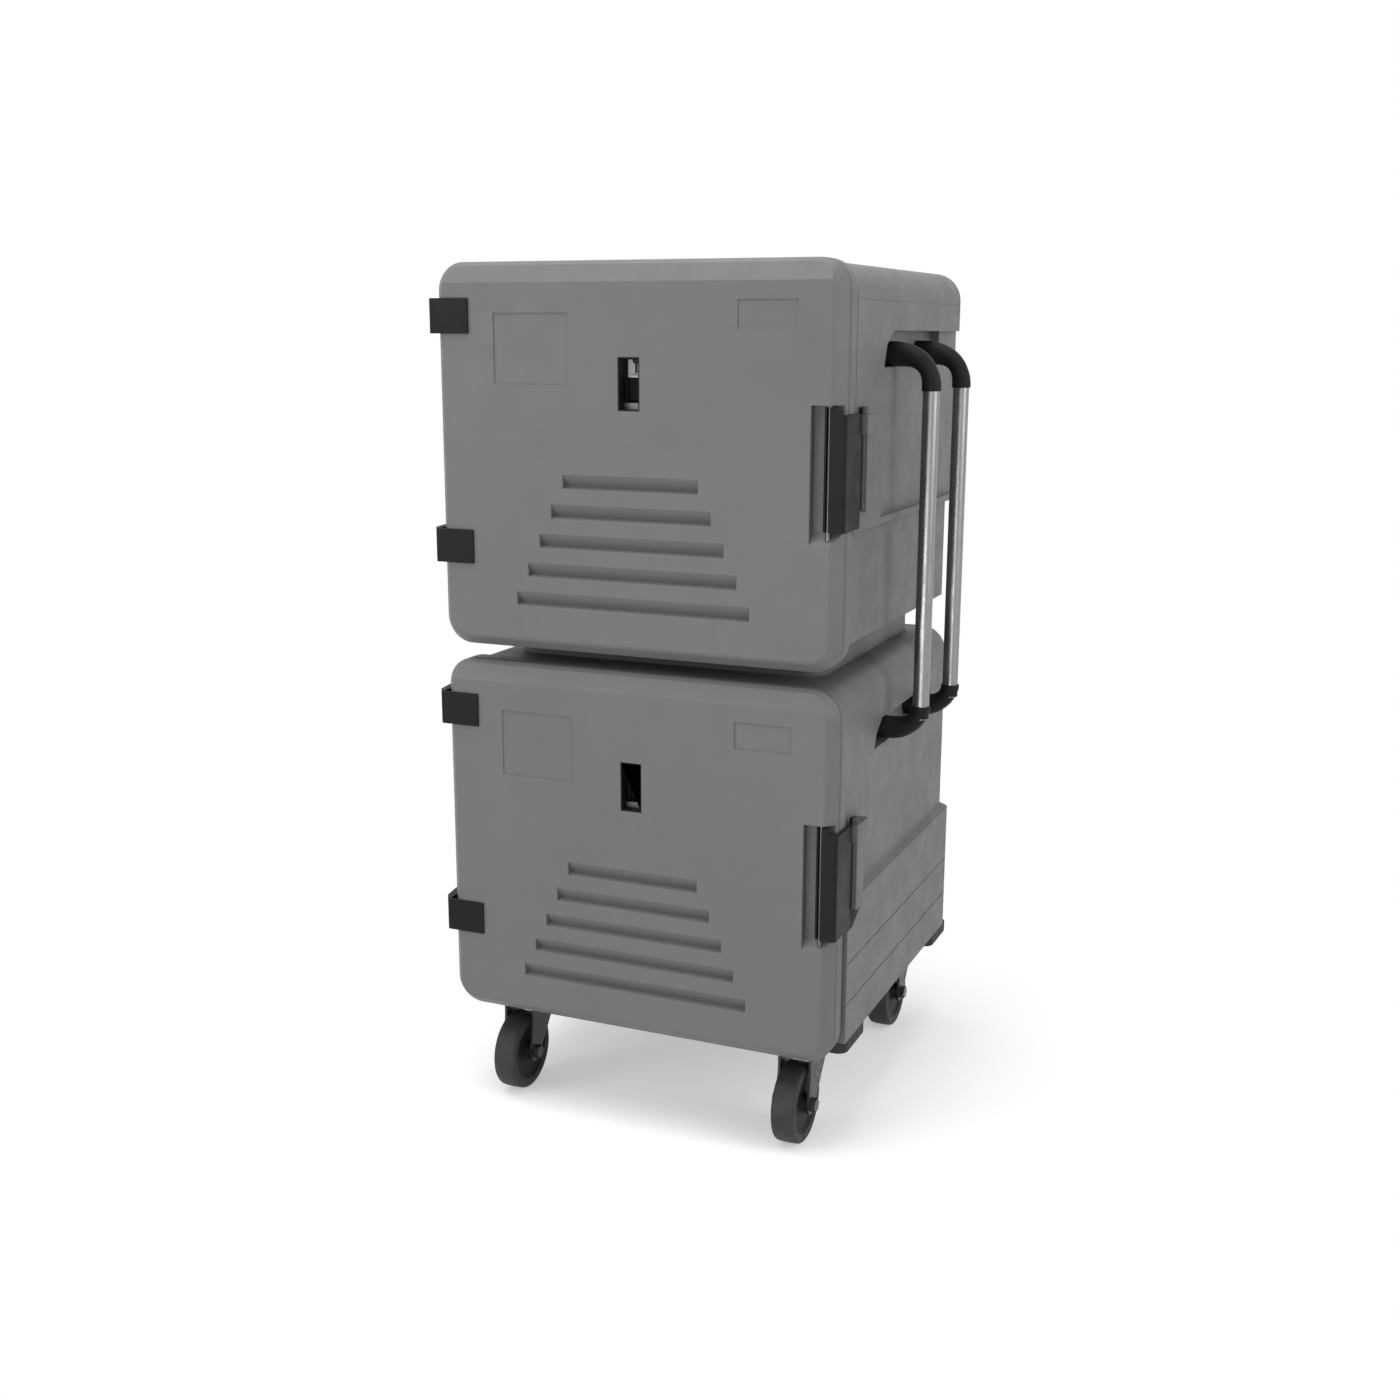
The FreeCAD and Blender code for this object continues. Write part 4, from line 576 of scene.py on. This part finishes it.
def cut_to(piece, outline):
    """Keeps the part of a piece inside an outline, breaks its edges and drops the outline."""
    keep = piece.modifiers.new("keep", "BOOLEAN")
    keep.operation = "INTERSECT"
    keep.solver = "EXACT"
    keep.object = outline
    evaluated = piece.evaluated_get(bpy.context.evaluated_depsgraph_get())
    trimmed = bpy.data.meshes.new_from_object(evaluated)
    piece.modifiers.clear()
    piece.data = trimmed
    bpy.data.objects.remove(outline)
    soften(piece, 0.0007, segments=2)


TRAIL = 34.0
CASTERS = ("front_left", "front_right", "rear_left", "rear_right")
make_elbows()
for caster in CASTERS:
    make_wheel(caster)
    make_fork(caster)

# ---------------------------------------------------------------------------------------------
# Studio: white floor that keeps the shadow, white surroundings, soft lamps

def make_floor():
    """A white floor: the shadow shows on it near the cart, and further off it is plain white."""
    size = 9.0
    mesh = bpy.data.meshes.new("floor")
    corners = [(-size, -size, 0), (size, -size, 0), (size, size, 0), (-size, size, 0)]
    mesh.from_pydata(corners, [], [(0, 1, 2, 3)])
    floor = bpy.data.objects.new("floor", mesh)
    bpy.context.scene.collection.objects.link(floor)
    graph = Graph("floor")
    coordinates = graph.add("ShaderNodeTexCoord")
    sides = graph.add("ShaderNodeVectorMath", operation="ABSOLUTE")
    graph.feed(sides.inputs[0], coordinates.outputs["Object"])
    outside = graph.add("ShaderNodeVectorMath", operation="SUBTRACT")
    graph.feed(outside.inputs[0], sides.outputs[0])
    outside.inputs[1].default_value = (0.33, 0.31, 0.0)
    beyond = graph.add("ShaderNodeVectorMath", operation="MAXIMUM")
    graph.feed(beyond.inputs[0], outside.outputs[0])
    beyond.inputs[1].default_value = (0.0, 0.0, 0.0)
    distance = graph.add("ShaderNodeVectorMath", operation="LENGTH")
    graph.feed(distance.inputs[0], beyond.outputs[0])
    far = graph.ramp(distance.outputs["Value"], 0.0, 0.36)
    rays = graph.add("ShaderNodeLightPath")
    seen = graph.math("MAXIMUM", rays.outputs["Is Camera Ray"],
                      graph.math("MAXIMUM", rays.outputs["Is Glossy Ray"],
                                 rays.outputs["Is Transmission Ray"]))
    graph.set(Base_Color=(0.8, 0.8, 0.8, 1), Roughness=0.9)
    graph.shader.inputs["Specular IOR Level"].default_value = 0.0
    lift = graph.add("ShaderNodeEmission")
    graph.feed(lift.inputs["Strength"], graph.math("MULTIPLY", seen, 0.36))
    lifted = graph.add("ShaderNodeAddShader")
    graph.feed(lifted.inputs[0], graph.shader.outputs[0])
    graph.feed(lifted.inputs[1], lift.outputs[0])
    white = graph.add("ShaderNodeEmission")
    blend = graph.add("ShaderNodeMixShader")
    graph.feed(blend.inputs[0], graph.math("MULTIPLY", far, seen))
    graph.feed(blend.inputs[1], lifted.outputs[0])
    graph.feed(blend.inputs[2], white.outputs[0])
    graph.feed(graph.output.inputs["Surface"], blend.outputs[0])
    mesh.materials.append(graph.material)


def make_world():
    world = bpy.data.worlds.new("studio")
    bpy.context.scene.world = world
    world.use_nodes = True
    tree = world.node_tree
    sky = tree.nodes["Background"]
    sky.inputs["Color"].default_value = (1, 1, 1, 1)
    rays = tree.nodes.new("ShaderNodeLightPath")
    clear = tree.nodes.new("ShaderNodeMath")
    clear.operation = "MAXIMUM"
    tree.links.new(rays.outputs["Is Glossy Ray"], clear.inputs[0])
    tree.links.new(rays.outputs["Is Transmission Ray"], clear.inputs[1])
    seen = tree.nodes.new("ShaderNodeMath")
    seen.operation = "MAXIMUM"
    tree.links.new(rays.outputs["Is Camera Ray"], seen.inputs[0])
    tree.links.new(clear.outputs[0], seen.inputs[1])
    strength = tree.nodes.new("ShaderNodeMapRange")
    tree.links.new(seen.outputs[0], strength.inputs["Value"])
    strength.inputs["To Min"].default_value = 0.5
    strength.inputs["To Max"].default_value = 1.0
    tree.links.new(strength.outputs["Result"], sky.inputs["Strength"])


def make_lamp(name, place, target, size, power):
    lamp = bpy.data.lights.new(name, "AREA")
    lamp.shape = "RECTANGLE"
    lamp.size, lamp.size_y = size
    lamp.energy = power
    thing = bpy.data.objects.new(name, lamp)
    thing.location = place
    thing.rotation_euler = (Vector(target) - Vector(place)).to_track_quat("-Z", "Y").to_euler()
    bpy.context.scene.collection.objects.link(thing)


def make_camera():
    """The photograph's camera: place, then yaw, pitch and roll in degrees, and focal length."""
    place = Vector((0.99553, -2.44774, 1.22010))
    yaw, pitch, roll = (math.radians(angle) for angle in (23.099, 12.662, 0.204))
    forward = Vector((-math.sin(yaw) * math.cos(pitch), math.cos(yaw) * math.cos(pitch),
                      -math.sin(pitch)))
    level = Vector((math.cos(yaw), math.sin(yaw), 0))
    upward = level.cross(forward)
    right = level * math.cos(roll) + upward * math.sin(roll)
    above = upward * math.cos(roll) - level * math.sin(roll)
    lens = bpy.data.cameras.new("photo_camera")
    lens.sensor_width = 36.0
    lens.lens = 42.184
    camera = bpy.data.objects.new("photo_camera", lens)
    turn = Matrix((right, above, -forward)).transposed()
    camera.matrix_world = Matrix.Translation(place) @ turn.to_4x4()
    bpy.context.scene.collection.objects.link(camera)
    bpy.context.scene.camera = camera


make_floor()
make_world()
make_lamp("top", (-0.4, -0.6, 3.4), (0, 0, 0.7), (2.6, 2.6), 70)
make_lamp("front_left", (-2.6, -3.2, 1.8), (0, 0, 0.7), (1.8, 2.2), 38)
make_lamp("right", (3.2, -0.6, 1.9), (0, 0, 0.8), (1.6, 2.2), 34)
make_lamp("low_front", (0.3, -3.0, 0.3), (0, 0, 0.7), (2.6, 0.5), 20)
make_camera()

scene = bpy.context.scene
scene.view_settings.view_transform = "Standard"
